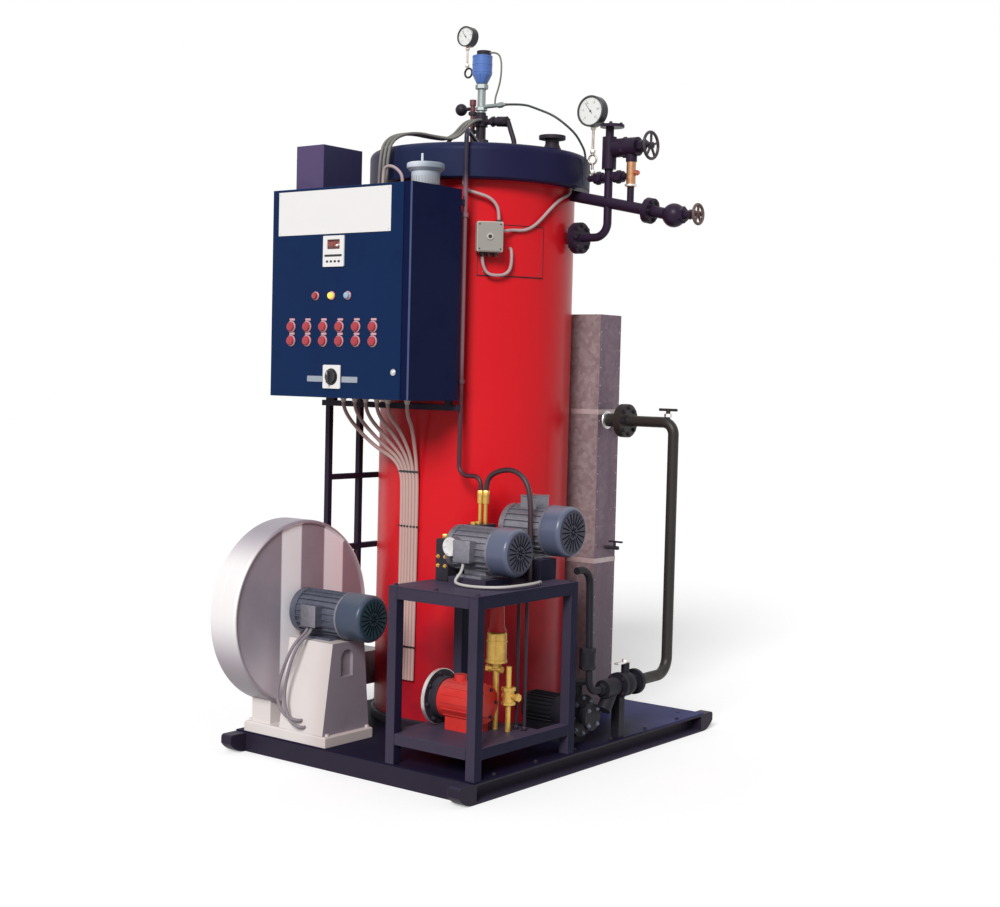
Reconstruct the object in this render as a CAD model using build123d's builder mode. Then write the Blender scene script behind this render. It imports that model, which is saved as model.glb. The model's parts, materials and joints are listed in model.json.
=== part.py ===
from build123d import *
import os
from math import cos, radians, sin, sqrt

# Packaged vertical steam boiler on a skid, in millimetres.
# Origin: middle of the skid on the floor. +X right, +Y to the back, +Z up, panel door faces -Y.

# Skid
skid_side_margin = 225
skid_contact = 1700
runner_nose = 85
runner_height = 80
runner_width = 60
runner_web = 8
runner_flange = 9
nose_lift = 42
nose_round = 14
deck_thickness = 6
cross_width = 60
cross_wall = 8
cross_count = 5
anchor_hole_r = 9
anchor_inset = 30
anchor_end_inset = 80
deck_top = runner_height + deck_thickness

# Boiler
boiler_x = -140
boiler_y = 90
jacket_r = 425
jacket_wall = 40
jacket_top = 2440
base_ring_height = 42
base_ring_wall = 12
head_overhang = 65
head_height = 150
head_round = 34
head_lip = 6
cover_r = 150
cover_height = 14
curved_gap = 0.3
head_r = jacket_r + head_overhang
head_top = jacket_top + head_height
skid_width = 2 * (jacket_r + skid_side_margin)
skid_left = -skid_width / 2
skid_right = skid_width / 2
skid_front = -skid_contact / 2

# Nozzle on the head
nozzle_x = boiler_x + head_r - 68
nozzle_y = boiler_y - 40
nozzle_neck_r = 30
nozzle_bore_r = 14
nozzle_flange_r = 57.5
nozzle_flange_thickness = 16
nozzle_height = 58
nozzle_bolt_circle = 85
nozzle_bolt_r = 7
nozzle_bolt_count = 4

# Access door on the jacket
access_angle = -31.5
access_width = 294
access_height = 210
access_z = 2145
access_thickness = 4

# Junction box on the jacket
jbox_angle = -46
jbox_width = 110
jbox_height = 125
jbox_depth = 70
jbox_z = 2195
jbox_round = 6
jbox_standoff = 12
jbox_top = jbox_z + jbox_height / 2
jbox_low = jbox_z - jbox_height / 2

# Upright pipe beside the panel
pipe_angle = -58
pipe_r = 10
pipe_head_gap = 25
pipe_over_head = 45
pipe_inner_reach = 120
pipe_clip_zs = (1590, 2280)

# Control panel
panel_width = 784
panel_depth = 310
panel_height = 871
panel_bottom = 1510
panel_clearance = 55
stand_clearance = 55
panel_overhang = 13
stand_x = boiler_x - jacket_r - stand_clearance
panel_left = stand_x - panel_overhang
panel_right = panel_left + panel_width
panel_back = boiler_y - jacket_r - panel_clearance
panel_front = panel_back - panel_depth
panel_top = panel_bottom + panel_height
sheet = 2.5
door_depth = 20
door_gap = 5
pillar_width = 42
door_right = panel_right - pillar_width - door_gap
hinge_r = 6
hinge_pin_r = 3
hinge_running = 0.3
hinge_knuckle = 36
hinge_offset = 10
hinge_inset = 120
rim_return = 20

# Things on the panel door, from the door's left and bottom edges
plate_left = 37
plate_bottom = 677
plate_width = 636
plate_height = 183
plate_thickness = 2
display_x = 363
display_z = 605
display_width = 118
display_height = 128
display_thickness = 7
display_window_width = 72
display_window_height = 40
display_window_rise = 28
lamp_z = 422
lamp_first_x = 263
lamp_pitch = 91
lamp_count = 3
lamp_r = 14
lamp_rim = 4
lamp_depth = 18
button_rows_z = (235, 294)
button_first_x = 122
button_pitch = 93
button_count = 6
button_r = 19
button_rim = 5
button_depth = 16
rim_height = 5
switch_x = 364
switch_z = 87
switch_plate = 98
switch_plate_thickness = 6
knob_r = 27
knob_depth = 22
knob_grip_width = 11
knob_grip_height = 16
knob_shaft_r = 5
knob_gap = 5

# Fittings on the panel roof
alarm_x = panel_right - 105
alarm_y = panel_back - 110
alarm_flange_r = 78
alarm_flange_height = 55
alarm_body_r = 62
alarm_body_height = 46
alarm_stem_r = 5
alarm_stem_height = 40
roof_box_left = panel_left + 73
roof_box_width = 160
roof_box_depth = 240
roof_box_height = 190
roof_box_y = panel_front + 60
gland_r = 13
gland_height = 22
gland_y = panel_back - 50
gland_places = (186, 253, 317, 381, 443, 553)

# Conduits from the glands to a bundle down the jacket
conduit_r = 8
bundle_first_angle = -95
bundle_pitch_angle = 2.2
bundle_tie_z = 1225
bundle_foot_z = 300

# Panel stand
stand_bar = 25
stand_leg_ys = (panel_back + 44, panel_back + 244)
stand_rung_zs = (825, 1147)
stand_rung_end = panel_back + 382
stand_cross_zs = (panel_bottom - 30, panel_top - 51)

# Blower
drum_left = skid_left + 50
drum_width = 150
drum_y = skid_front + 190
drum_z = 590
drum_r = 395
drum_bead = 7
drum_face_inset = 8
hub_r = 42
hub_height = 22
inlet_r = 130
inlet_depth = 60
inlet_lip = 8
inlet_lip_width = 22
plinth_left = drum_left - 6
plinth_right = plinth_left + 476
plinth_front = drum_y - 185
plinth_back = drum_y + 100
plinth_height = 44
saddle_inset = 20
saddle_top = drum_z - 200
pedestal_left = drum_left + drum_width + 50
pedestal_right = pedestal_left + 250
pedestal_top_front = drum_y - 130
pedestal_top_back = drum_y + 60
pedestal_bottom_front = plinth_front + 3
pedestal_bottom_back = plinth_back - 3
pedestal_wall = 15
pedestal_hole_width = 70
pedestal_hole_height = 110
pedestal_hole_z = 400
duct_left = drum_left + 10
duct_width = 120
duct_rise = 20
duct_height = 150
duct_overrun = 60

# Motors: drive end, axis height, length and radius
motor_fin_height = 9
motor_fin_thickness = 4
motor_fin_count = 22
blower_motor = dict(x=drum_left + 172, y=drum_y - 12, z=drum_z + 17, length=395, radius=98)
pedestal_top_z = blower_motor["z"] - 102
motor_box_front = blower_motor["y"] - 1.28 * blower_motor["radius"]
motor_box_low = blower_motor["z"] - 0.42 * blower_motor["radius"]
front_motor = dict(x=skid_right - 358, y=skid_front + 320, z=925, length=310, radius=96)
rear_motor = dict(x=skid_right - 328, y=skid_front + 635, z=990, length=310, radius=104)

# Pump frame
frame_left = skid_right - 450
frame_right = skid_right
frame_front = skid_front
frame_back = frame_front + 655
frame_bar = 45
frame_top = 790
frame_plate = 6
frame_low_rail = 165
frame_mid_y = frame_front + 410
front_block = 26
rear_block = 85

# Water pump on the frame
pump_left = frame_left + 28
pump_top = frame_top + 215
crankcase_front = frame_front + 250
crankcase_height = 170
nipple_block_front = frame_front + 420

# Fuel pump in the frame
fuel_y = frame_front + 250
fuel_z = 325
fuel_flange_x = frame_left + 62
fuel_flange_r = 112
fuel_flange_thickness = 16
fuel_body_r = 78
fuel_body_length = 190
filter_x = frame_left + 281
filter_y = frame_front + 340
filter_r = 40
filter_bottom = 478
filter_top = 604
fuel_line_x = frame_left + 345
nipple_xs = (frame_left + 50, frame_left + 78)
nipple_y = frame_front + 505
nipple_r = 8
nipple_height = 115
rod_y = frame_front + 395
rod_xs = (frame_left + 345, frame_left + 385)
rod_r = 7
hose_r = 11

# Feed pump set
pump_x = skid_right - 150
pump_y = skid_front + 810
pump_z = 205
rise_y = skid_front + 750
rise_top = 832
rise_r = 15

# Economiser box at the back
box_left = boiler_x + 160
box_right = box_left + 280
box_back = boiler_y + jacket_r + 85
box_front = box_back - 170
box_top = 1905

# Feed pipe
feed_y = box_back - 95
feed_z = 1430
feed_flange_r = 75
feed_flange_thickness = 18
feed_pipe_r = 24
feed_neck = 80
feed_neck_r = 30
feed_drop_x = skid_right + 2
feed_low_z = 320
feed_bend = 75
feed_end_y = box_back - 350
vent_height = 62
vent_bar = 90
drain_z = 850
drain_y = box_back - 80

# Steam pipework, in one upright plane
steam_y = boiler_y + 130
outlet_z = 2226
riser_x = boiler_x + jacket_r + 178
outlet_face_x = riser_x - 147
outlet_flange_r = 68
outlet_flange_thickness = 16
outlet_pipe_r = 26
riser_r = 18
riser_bend = 62
riser_top = 2692
riser_body_low = 2515
riser_body_high = 2652
riser_body_r = 31
cap_r = 52
cap_thickness = 12
header_r = 24
header_start = (riser_x - 195, 2413)
header_end = (riser_x + 165, 2339)
link_z = 2480
link_left = riser_x - 100
link_r = 14
link_nut_r = 24
brass_x = riser_x + 114
brass_low = 2434
brass_high = 2540
brass_r = 20
drip_r = 15
stop_z = 2603
stop_body_r = 40
stop_wheel_x = riser_x + 210
stop_wheel_r = 62
outlet_valve_x = riser_x + 333
outlet_wheel_x = riser_x + 449
outlet_wheel_r = 46
wheel_rim_r = 6.5
wheel_gap = 0.3
joint_flange_r = 54
joint_flange_thickness = 14
joint_offset = 35

# Gauges
big_gauge_x = riser_x - 86
big_gauge_z = 2767
big_gauge_r = 67
small_gauge_x = boiler_x - 56
small_gauge_y = boiler_y - 40
small_gauge_z = 3119
small_gauge_r = 45
gauge_depth = 40
siphon_r = 20
siphon_tube_r = 4.5
gauge_stem_r = 6
big_siphon_z = 2562
small_siphon_z = 2960
small_siphon_x = small_gauge_x + 8

# Fittings on the middle of the head
fit_x = boiler_x + 30
fit_y = boiler_y - 40
transmitter_low = 2905
transmitter_high = 3026
transmitter_r = 44
neck_r = 18
transmitter_foot = head_top + 187
transmitter_cap_height = 20
transmitter_cap_r = transmitter_r - 12
manifold_z = head_top + 150
manifold_r = 30
side_pipe_x = fit_x - 48
side_pipe_top = head_top + 248
knob_valve_z = head_top + 210
hose_fitting_z = head_top + 213
hose_fitting_length = 114
head_hose_r = 5
cable_r = 7

os.makedirs("parts", exist_ok=True)


def keep(made, label):
    """Name a finished piece and write it."""
    made.part.label = label
    export_step(made.part, f"parts/{label}.step")


def block(low, high, mode=Mode.ADD):
    """Square bar or plate between two opposite corners."""
    low = Vector(*low)
    high = Vector(*high)
    size = high - low
    with Locations((low + high) * 0.5):
        Box(size.X, size.Y, size.Z, mode=mode)


def rod(start, end, radius, mode=Mode.ADD):
    """Round bar from one point to another."""
    start = Vector(*start)
    along = Vector(*end) - start
    with BuildSketch(Plane(origin=start, z_dir=along)) as section:
        Circle(radius)
    extrude(section.sketch, amount=along.length, mode=mode)


def cone(start, end, start_r, end_r):
    """Round taper from one point to another."""
    start = Vector(*start)
    along = Vector(*end) - start
    with BuildSketch(Plane(origin=start, z_dir=along)) as first:
        Circle(start_r)
    with BuildSketch(Plane(origin=start + along, z_dir=along)) as last:
        Circle(end_r)
    loft([first.sketch.face(), last.sketch.face()])


def tube(points, bends, radius):
    """Round pipe or cord along straight runs joined by tangent arcs."""
    with BuildLine() as route:
        FilletPolyline(*points, radius=bends)
    path = route.wires()[0]
    with BuildSketch(Plane(origin=path @ 0, z_dir=path % 0)) as section:
        Circle(radius)
    sweep(section.sketch, path=path)


def corner_radii(points, share=0.45):
    """Arc for each corner of a cord: its share of the shorter run over the tangent of half the turn."""
    places = [Vector(*point) for point in points]
    radii = []
    for before, corner, after in zip(places, places[1:], places[2:]):
        run_in = corner - before
        run_out = after - corner
        turn = radians(run_in.get_angle(run_out))
        shorter = min(run_in.length, run_out.length)
        radii.append(share * shorter / max(sin(turn / 2) / cos(turn / 2), 0.02))
    return radii


def cord(points, radius):
    """Cord along hand-picked points with arcs as large as its runs allow."""
    tube(points, corner_radii(points), radius)


def on_jacket(angle, out, z):
    """Point beside the jacket, by angle about the boiler from +X and distance out of its skin."""
    reach = jacket_r + out
    return (boiler_x + reach * cos(radians(angle)), boiler_y + reach * sin(radians(angle)), z)


def motor(x, y, z, length, radius, foot_z, box_side):
    """Finned electric motor along X: drive end at x, fan cowl at the far end."""
    along = (1, 0, 0)
    shield = 0.08 * length
    cowl = 0.34 * length
    barrel_r = radius - motor_fin_height - 3
    rod((x, y, z), (x + shield, y, z), radius - 4)
    with BuildSketch(Plane(origin=(x + shield, y, z), z_dir=along)) as ribbed:
        Circle(barrel_r)
        with PolarLocations(barrel_r, motor_fin_count):
            Rectangle(2 * motor_fin_height, motor_fin_thickness)
    extrude(ribbed.sketch, amount=length - shield - cowl)
    end = x + length
    turn = 0.22 * radius
    with BuildSketch(Plane.XZ.offset(-y)) as cover:
        with BuildLine():
            Polyline((end, z + radius - turn), (end, z), (end - cowl, z), (end - cowl, z + radius),
                     (end - turn, z + radius))
            TangentArc((end - turn, z + radius), (end, z + radius - turn), tangent=(1, 0))
        make_face()
    revolve(cover.sketch, axis=Axis((end, y, z), (1, 0, 0)))
    foot_half = 0.78 * radius
    foot_front = x + 0.16 * length
    foot_end = x + 0.56 * length
    block((foot_front, y - foot_half, foot_z), (foot_end, y + foot_half, foot_z + 10))
    web = 0.34 * radius
    block((foot_front + 8, y - web, foot_z + 8), (foot_end - 8, y + web, z))
    box_half = 0.42 * radius
    box_mid = x + 0.36 * length
    if box_side == "top":
        block((box_mid - 40, y - box_half, z + 0.6 * radius), (box_mid + 40, y + box_half, z + 1.32 * radius))
    else:
        block((box_mid - 40, y - 1.28 * radius, z - box_half), (box_mid + 40, y - 0.6 * radius, z + box_half))


def handwheel(x, y, z, wheel_r, hub_r_wheel, hub_length):
    """Spoked handwheel facing +X, hub back face at x."""
    rim_plane = Plane(origin=(x + hub_length / 2, y, z), z_dir=(1, 0, 0))
    rim_centre_r = wheel_r - wheel_rim_r
    with Locations(rim_plane):
        Torus(rim_centre_r, wheel_rim_r)
    rod((x, y, z), (x + hub_length, y, z), hub_r_wheel)
    with BuildSketch(rim_plane.offset(-wheel_rim_r * 0.55)) as spokes:
        with PolarLocations(rim_centre_r / 2, 5):
            Rectangle(rim_centre_r, wheel_rim_r * 1.4)
    extrude(spokes.sketch, amount=wheel_rim_r * 1.1)


def dial_gauge(x, y, z, radius):
    """Round gauge facing -Y: case, rim and a recessed dial."""
    rod((x, y, z), (x, y + gauge_depth, z), radius)
    rod((x, y, z), (x, y + 4, z), radius * 0.88, mode=Mode.SUBTRACT)


def siphon(x, y, z):
    """One round coil of gauge pipe seen edge on, closed on itself."""
    with Locations(Plane(origin=(x, y, z), z_dir=(0, 1, 0))):
        Torus(siphon_r, siphon_tube_r)


def cut_drum_space():
    """Cut away what would lie inside the blower drum."""
    rod((drum_left - 10, drum_y, drum_z), (drum_left + drum_width + 10, drum_y, drum_z),
        drum_r + curved_gap, mode=Mode.SUBTRACT)


def cut_boiler_space(clearance):
    """Cut away what would lie inside the jacket."""
    rod((boiler_x, boiler_y, 0), (boiler_x, boiler_y, jacket_top), jacket_r + clearance, mode=Mode.SUBTRACT)


# Skid runners: rolled steel sled beams with an open outer side
runner_half = skid_contact / 2
runner_tip = runner_half + runner_nose
with BuildPart() as skid_runners:
    with BuildSketch(Plane.YZ.offset(skid_width / 2 - runner_width)):
        with BuildLine():
            Line((-runner_half, 0), (runner_half, 0))
            TangentArc((runner_half, 0), (runner_tip, nose_lift), tangent=(1, 0))
            Line((runner_tip, nose_lift), (runner_tip, runner_height))
            Line((runner_tip, runner_height), (-runner_tip, runner_height))
            Line((-runner_tip, runner_height), (-runner_tip, nose_lift))
            TangentArc((-runner_half, 0), (-runner_tip, nose_lift), tangent=(-1, 0))
        outline = make_face()
        fillet(outline.vertices().group_by(Axis.Y)[-1], radius=nose_round)
    extrude(amount=runner_width)
    with BuildSketch(Plane.YZ.offset(skid_width / 2)):
        with Locations((0, runner_height / 2)):
            Rectangle(skid_contact - 40, runner_height - 2 * runner_flange)
    extrude(amount=-(runner_width - runner_web), mode=Mode.SUBTRACT)
    mirror(about=Plane.YZ)
keep(skid_runners, "skid_runners")

# Cross members: channels between the runners
cross_length = skid_width - 2 * runner_width
cross_pitch = (skid_contact - cross_width) / (cross_count - 1)
with BuildPart() as skid_cross_members:
    for index in range(cross_count):
        cross_y = -(skid_contact - cross_width) / 2 + index * cross_pitch
        with BuildSketch(Plane.YZ.offset(-cross_length / 2)):
            with Locations((cross_y, runner_height / 2)):
                Rectangle(cross_width, runner_height)
            with Locations((cross_y + cross_wall, runner_height / 2)):
                Rectangle(cross_width, runner_height - 2 * cross_wall, mode=Mode.SUBTRACT)
        extrude(amount=cross_length)
keep(skid_cross_members, "skid_cross_members")

# Deck plate with an anchor hole at each corner
with BuildPart() as skid_deck:
    with BuildSketch(Plane.XY.offset(runner_height)):
        Rectangle(skid_width, skid_contact)
        with GridLocations(skid_width - 2 * (runner_width + anchor_inset),
                           skid_contact - 2 * anchor_end_inset, 2, 2):
            Circle(anchor_hole_r, mode=Mode.SUBTRACT)
    extrude(amount=deck_thickness)
keep(skid_deck, "skid_deck")

# Boiler jacket: insulated shell
with BuildPart() as boiler_jacket:
    with BuildSketch(Plane.XY.offset(deck_top)):
        with Locations((boiler_x, boiler_y)):
            Circle(jacket_r)
            Circle(jacket_r - jacket_wall, mode=Mode.SUBTRACT)
    extrude(amount=jacket_top - deck_top)
keep(boiler_jacket, "boiler_jacket")

with BuildPart() as jacket_base_ring:
    with BuildSketch(Plane.XY.offset(deck_top)):
        with Locations((boiler_x, boiler_y)):
            Circle(jacket_r + base_ring_wall)
            Circle(jacket_r + curved_gap, mode=Mode.SUBTRACT)
    extrude(amount=base_ring_height)
    top_edges = jacket_base_ring.edges().filter_by(GeomType.CIRCLE).group_by(Axis.Z)[-1]
    chamfer(top_edges.sort_by(SortBy.RADIUS)[-1], 8)
keep(jacket_base_ring, "jacket_base_ring")

# Head: thick round cover with a rounded upper edge and a rolled lower lip
with BuildPart() as boiler_head:
    with BuildSketch(Plane.XY.offset(jacket_top)):
        with Locations((boiler_x, boiler_y)):
            Circle(head_r)
    extrude(amount=head_height)
    rims = boiler_head.edges().filter_by(GeomType.CIRCLE)
    fillet(rims.sort_by(Axis.Z)[-1], radius=head_round)
    fillet(boiler_head.edges().filter_by(GeomType.CIRCLE).sort_by(Axis.Z)[0], radius=head_lip)
keep(boiler_head, "boiler_head")

# Nozzle on the head with a bolting flange
nozzle_top = head_top + nozzle_height
with BuildPart() as head_nozzle:
    rod((nozzle_x, nozzle_y, head_top), (nozzle_x, nozzle_y, nozzle_top), nozzle_neck_r)
    with BuildSketch(Plane.XY.offset(nozzle_top - nozzle_flange_thickness)):
        with Locations((nozzle_x, nozzle_y)):
            Circle(nozzle_flange_r)
            with PolarLocations(nozzle_bolt_circle / 2, nozzle_bolt_count, start_angle=45):
                Circle(nozzle_bolt_r, mode=Mode.SUBTRACT)
    extrude(amount=nozzle_flange_thickness)
    with BuildSketch(Plane.XY.offset(head_top)):
        with Locations((nozzle_x, nozzle_y)):
            Circle(nozzle_bore_r)
    extrude(amount=nozzle_height, mode=Mode.SUBTRACT)
keep(head_nozzle, "head_nozzle")

# Access door: a curved plate on the jacket
with BuildPart() as jacket_access_door:
    with BuildSketch(Plane.XY.offset(access_z - access_height / 2)):
        with Locations((boiler_x, boiler_y)):
            Circle(jacket_r + curved_gap + access_thickness)
            Circle(jacket_r + curved_gap, mode=Mode.SUBTRACT)
        with Locations(Location((boiler_x, boiler_y), access_angle)):
            with Locations((jacket_r, 0)):
                Rectangle(jacket_r, access_width, mode=Mode.INTERSECT)
    extrude(amount=access_height)
keep(jacket_access_door, "jacket_access_door")

# Junction box on two feet, which stand on the access plate
jbox_out = Plane(origin=on_jacket(jbox_angle, 0, jbox_z),
                 z_dir=(cos(radians(jbox_angle)), sin(radians(jbox_angle)), 0),
                 x_dir=(-sin(radians(jbox_angle)), cos(radians(jbox_angle)), 0))


def by_jbox(across, up, out):
    """Point beside the junction box, from the middle of its back."""
    return tuple(jbox_out.from_local_coords((across, up, out)))


with BuildPart() as junction_box:
    with BuildSketch(jbox_out.offset(jbox_standoff)):
        RectangleRounded(jbox_width, jbox_height, jbox_round)
    extrude(amount=jbox_depth)
    with BuildSketch(jbox_out.offset(jbox_standoff)):
        with GridLocations(0, jbox_height - 40, 1, 2):
            Rectangle(24, 20)
    extrude(amount=-(jbox_standoff - access_thickness - 2 * curved_gap))
    with BuildSketch(jbox_out.offset(jbox_standoff + jbox_depth)):
        Circle(14)
    extrude(amount=8)
keep(junction_box, "junction_box")

# Control panel cabinet: sheet steel box open at the front with a returned rim
door_back = panel_front + door_depth
cabinet_front = door_back + door_gap
pivot_x = panel_left - hinge_offset
pivot_y = (door_back + cabinet_front) / 2
hinge_zs = (panel_bottom + hinge_inset, panel_top - hinge_inset)
with BuildPart() as panel_cabinet:
    block((panel_left, cabinet_front, panel_bottom), (panel_right, panel_back, panel_top))
    with BuildSketch(Plane.XZ.offset(-cabinet_front)):
        with Locations(((panel_left + panel_right) / 2, (panel_bottom + panel_top) / 2)):
            Rectangle(panel_right - panel_left - 2 * rim_return, panel_top - panel_bottom - 2 * rim_return)
    extrude(amount=-(sheet + 1), mode=Mode.SUBTRACT)
    block((panel_left + sheet, cabinet_front + sheet, panel_bottom + sheet),
          (panel_right - sheet, panel_back - sheet, panel_top - sheet), mode=Mode.SUBTRACT)
    with BuildSketch(Plane.XY.offset(panel_bottom)):
        with BuildLine():
            Polyline((door_right + door_gap, cabinet_front), (door_right + door_gap, panel_front),
                     (panel_right, panel_front), (panel_right, cabinet_front),
                     (panel_right - sheet, cabinet_front), (panel_right - sheet, panel_front + sheet),
                     (door_right + door_gap + sheet, panel_front + sheet),
                     (door_right + door_gap + sheet, cabinet_front), close=True)
        make_face()
    extrude(amount=panel_height)
    for hinge_z in hinge_zs:
        rod((pivot_x, pivot_y, hinge_z - hinge_knuckle), (pivot_x, pivot_y, hinge_z), hinge_r)
        rod((pivot_x, pivot_y, hinge_z), (pivot_x, pivot_y, hinge_z + hinge_knuckle - 4), hinge_pin_r)
        block((pivot_x, pivot_y, hinge_z - hinge_knuckle), (panel_left, pivot_y + hinge_r, hinge_z))
        block((panel_left - 4, pivot_y, hinge_z - hinge_knuckle), (panel_left, pivot_y + 40, hinge_z))
keep(panel_cabinet, "panel_cabinet")

# Panel door: a folded pan
with BuildPart() as panel_door:
    block((panel_left, panel_front, panel_bottom), (door_right, door_back, panel_top))
    fillet(panel_door.faces().sort_by(Axis.Y)[0].edges(), radius=sheet)
    block((panel_left + sheet, panel_front + sheet, panel_bottom + sheet),
          (door_right - sheet, door_back + 1, panel_top - sheet), mode=Mode.SUBTRACT)
    for hinge_z in hinge_zs:
        block((pivot_x, pivot_y - 3 - door_gap, hinge_z + hinge_running),
              (panel_left, pivot_y - door_gap, hinge_z + hinge_knuckle))
        rod((pivot_x, pivot_y, hinge_z + hinge_running), (pivot_x, pivot_y, hinge_z + hinge_knuckle), hinge_r)
        rod((pivot_x, pivot_y, hinge_z), (pivot_x, pivot_y, hinge_z + hinge_knuckle + 1),
            hinge_pin_r + hinge_running, mode=Mode.SUBTRACT)
keep(panel_door, "panel_door")


def on_door(across, up):
    """Point on the door's face, by distance from its left and bottom edges."""
    return (panel_left + across, panel_bottom + up)


door_face = Plane.XZ.offset(-panel_front)

with BuildPart() as name_plate:
    with BuildSketch(door_face):
        with Locations(on_door(plate_left + plate_width / 2, plate_bottom + plate_height / 2)):
            Rectangle(plate_width, plate_height)
    extrude(amount=plate_thickness)
keep(name_plate, "name_plate")

with BuildPart() as display_unit:
    with BuildSketch(door_face):
        with Locations(on_door(display_x, display_z)):
            RectangleRounded(display_width, display_height, 4)
    extrude(amount=display_thickness)
    with BuildSketch(door_face.offset(display_thickness)):
        with Locations(on_door(display_x, display_z + display_window_rise)):
            Rectangle(display_window_width, display_window_height)
    extrude(amount=-3, mode=Mode.SUBTRACT)
keep(display_unit, "display_unit")

# Pilot lamps and push buttons: a collar and a cap each
with BuildPart() as panel_controls:
    for index in range(lamp_count):
        with BuildSketch(door_face):
            with Locations(on_door(lamp_first_x + index * lamp_pitch, lamp_z)):
                Circle(lamp_r + lamp_rim)
        extrude(amount=rim_height)
        with BuildSketch(door_face.offset(rim_height)):
            with Locations(on_door(lamp_first_x + index * lamp_pitch, lamp_z)):
                Circle(lamp_r)
        extrude(amount=lamp_depth - rim_height)
    for row_z in button_rows_z:
        for index in range(button_count):
            with BuildSketch(door_face):
                with Locations(on_door(button_first_x + index * button_pitch, row_z)):
                    Circle(button_r + button_rim)
            extrude(amount=rim_height)
            with BuildSketch(door_face.offset(rim_height)):
                with Locations(on_door(button_first_x + index * button_pitch, row_z)):
                    Circle(button_r)
            extrude(amount=button_depth - rim_height)
keep(panel_controls, "panel_controls")

# Main switch: square plate on the door, and its turning knob
switch_at = on_door(switch_x, switch_z)
with BuildPart() as switch_plate_piece:
    with BuildSketch(door_face):
        with Locations(switch_at):
            RectangleRounded(switch_plate, switch_plate, 5)
    extrude(amount=switch_plate_thickness)
    with BuildSketch(door_face.offset(switch_plate_thickness)):
        with Locations(switch_at):
            Circle(knob_shaft_r)
    extrude(amount=knob_gap + 10)
keep(switch_plate_piece, "switch_plate")

knob_back = door_face.offset(switch_plate_thickness + knob_gap)
with BuildPart() as switch_knob:
    with BuildSketch(knob_back):
        with Locations(switch_at):
            Circle(knob_r)
    extrude(amount=knob_depth - knob_grip_height)
    with BuildSketch(knob_back.offset(knob_depth - knob_grip_height)):
        with Locations(switch_at):
            RectangleRounded(knob_grip_width, 2 * knob_r - 3, 4)
    extrude(amount=knob_grip_height)
    with BuildSketch(knob_back):
        with Locations(switch_at):
            Circle(knob_shaft_r + hinge_running)
    extrude(amount=11, mode=Mode.SUBTRACT)
keep(switch_knob, "switch_knob")

# Alarm horn under a round cap on the panel roof
with BuildPart() as alarm_horn:
    rod((alarm_x, alarm_y, panel_top), (alarm_x, alarm_y, panel_top + alarm_body_height), alarm_body_r)
    cap_low = panel_top + alarm_body_height
    cone((alarm_x, alarm_y, cap_low), (alarm_x, alarm_y, cap_low + alarm_flange_height),
         alarm_flange_r, alarm_flange_r * 0.72)
    rod((alarm_x - 20, alarm_y, cap_low + alarm_flange_height - 2),
        (alarm_x - 20, alarm_y, cap_low + alarm_flange_height + alarm_stem_height), alarm_stem_r)
keep(alarm_horn, "alarm_horn")

# Ventilation box on the panel roof, open at the bottom flange
with BuildPart() as roof_box:
    block((roof_box_left, roof_box_y, panel_top),
          (roof_box_left + roof_box_width, roof_box_y + roof_box_depth, panel_top + roof_box_height))
    fillet(roof_box.edges().filter_by(Axis.Z), radius=4)
    fillet(roof_box.faces().sort_by(Axis.Z)[-1].edges(), radius=3)
keep(roof_box, "roof_box")

# Panel stand: legs from the deck, rungs between them and cross bars behind the panel
half_bar = stand_bar / 2
stand_top = stand_cross_zs[-1] + half_bar
with BuildPart() as stand_legs:
    for leg_y in stand_leg_ys:
        block((stand_x - half_bar, leg_y - half_bar, deck_top),
              (stand_x + half_bar, leg_y + half_bar, stand_top))
keep(stand_legs, "stand_legs")

with BuildPart() as stand_rails:
    for rung_z in stand_rung_zs:
        block((stand_x - half_bar, stand_leg_ys[0] + half_bar, rung_z - half_bar),
              (stand_x + half_bar, stand_leg_ys[1] - half_bar, rung_z + half_bar))
        block((stand_x - half_bar, stand_leg_ys[1] + half_bar, rung_z - half_bar),
              (stand_x + half_bar, stand_rung_end, rung_z + half_bar))
    cross_front = stand_leg_ys[0] - half_bar - stand_bar
    for bar_z in stand_cross_zs:
        block((stand_x - half_bar, cross_front, bar_z - half_bar),
              (panel_right - 10, cross_front + stand_bar, bar_z + half_bar))
    for bar_z in stand_cross_zs:
        for bracket_x in (panel_left + 60, panel_right - 60):
            if bar_z > panel_bottom:
                block((bracket_x - 15, panel_back, bar_z - 30), (bracket_x + 15, cross_front, bar_z + 30))
            else:
                block((bracket_x - 15, cross_front, bar_z + half_bar),
                      (bracket_x + 15, panel_back + 30, panel_bottom))
keep(stand_rails, "stand_rails")

# Blower drum of spun steel, in two halves: the closed half carries the shaft hub
drum_right = drum_left + drum_width
drum_split = drum_left + inlet_depth
face_x = drum_right - drum_face_inset
drum_top = drum_z + drum_r
with BuildPart() as blower_drum:
    with BuildSketch(Plane.XZ.offset(-drum_y)):
        with BuildLine():
            Polyline((drum_split, drum_z), (drum_split, drum_top), (drum_right - drum_bead, drum_top),
                     (drum_right, drum_top - drum_bead), (drum_right, drum_top - 2 * drum_bead),
                     (face_x, drum_top - 3 * drum_bead), (face_x, drum_z), close=True)
        make_face()
    revolve(axis=Axis((0, drum_y, drum_z), (1, 0, 0)))
    rod((face_x, drum_y, drum_z), (face_x + hub_height / 2, drum_y, drum_z), hub_r)
    rod((face_x + hub_height / 2, drum_y, drum_z), (blower_motor["x"], drum_y, drum_z), hub_r * 0.5)
keep(blower_drum, "blower_drum")

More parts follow.
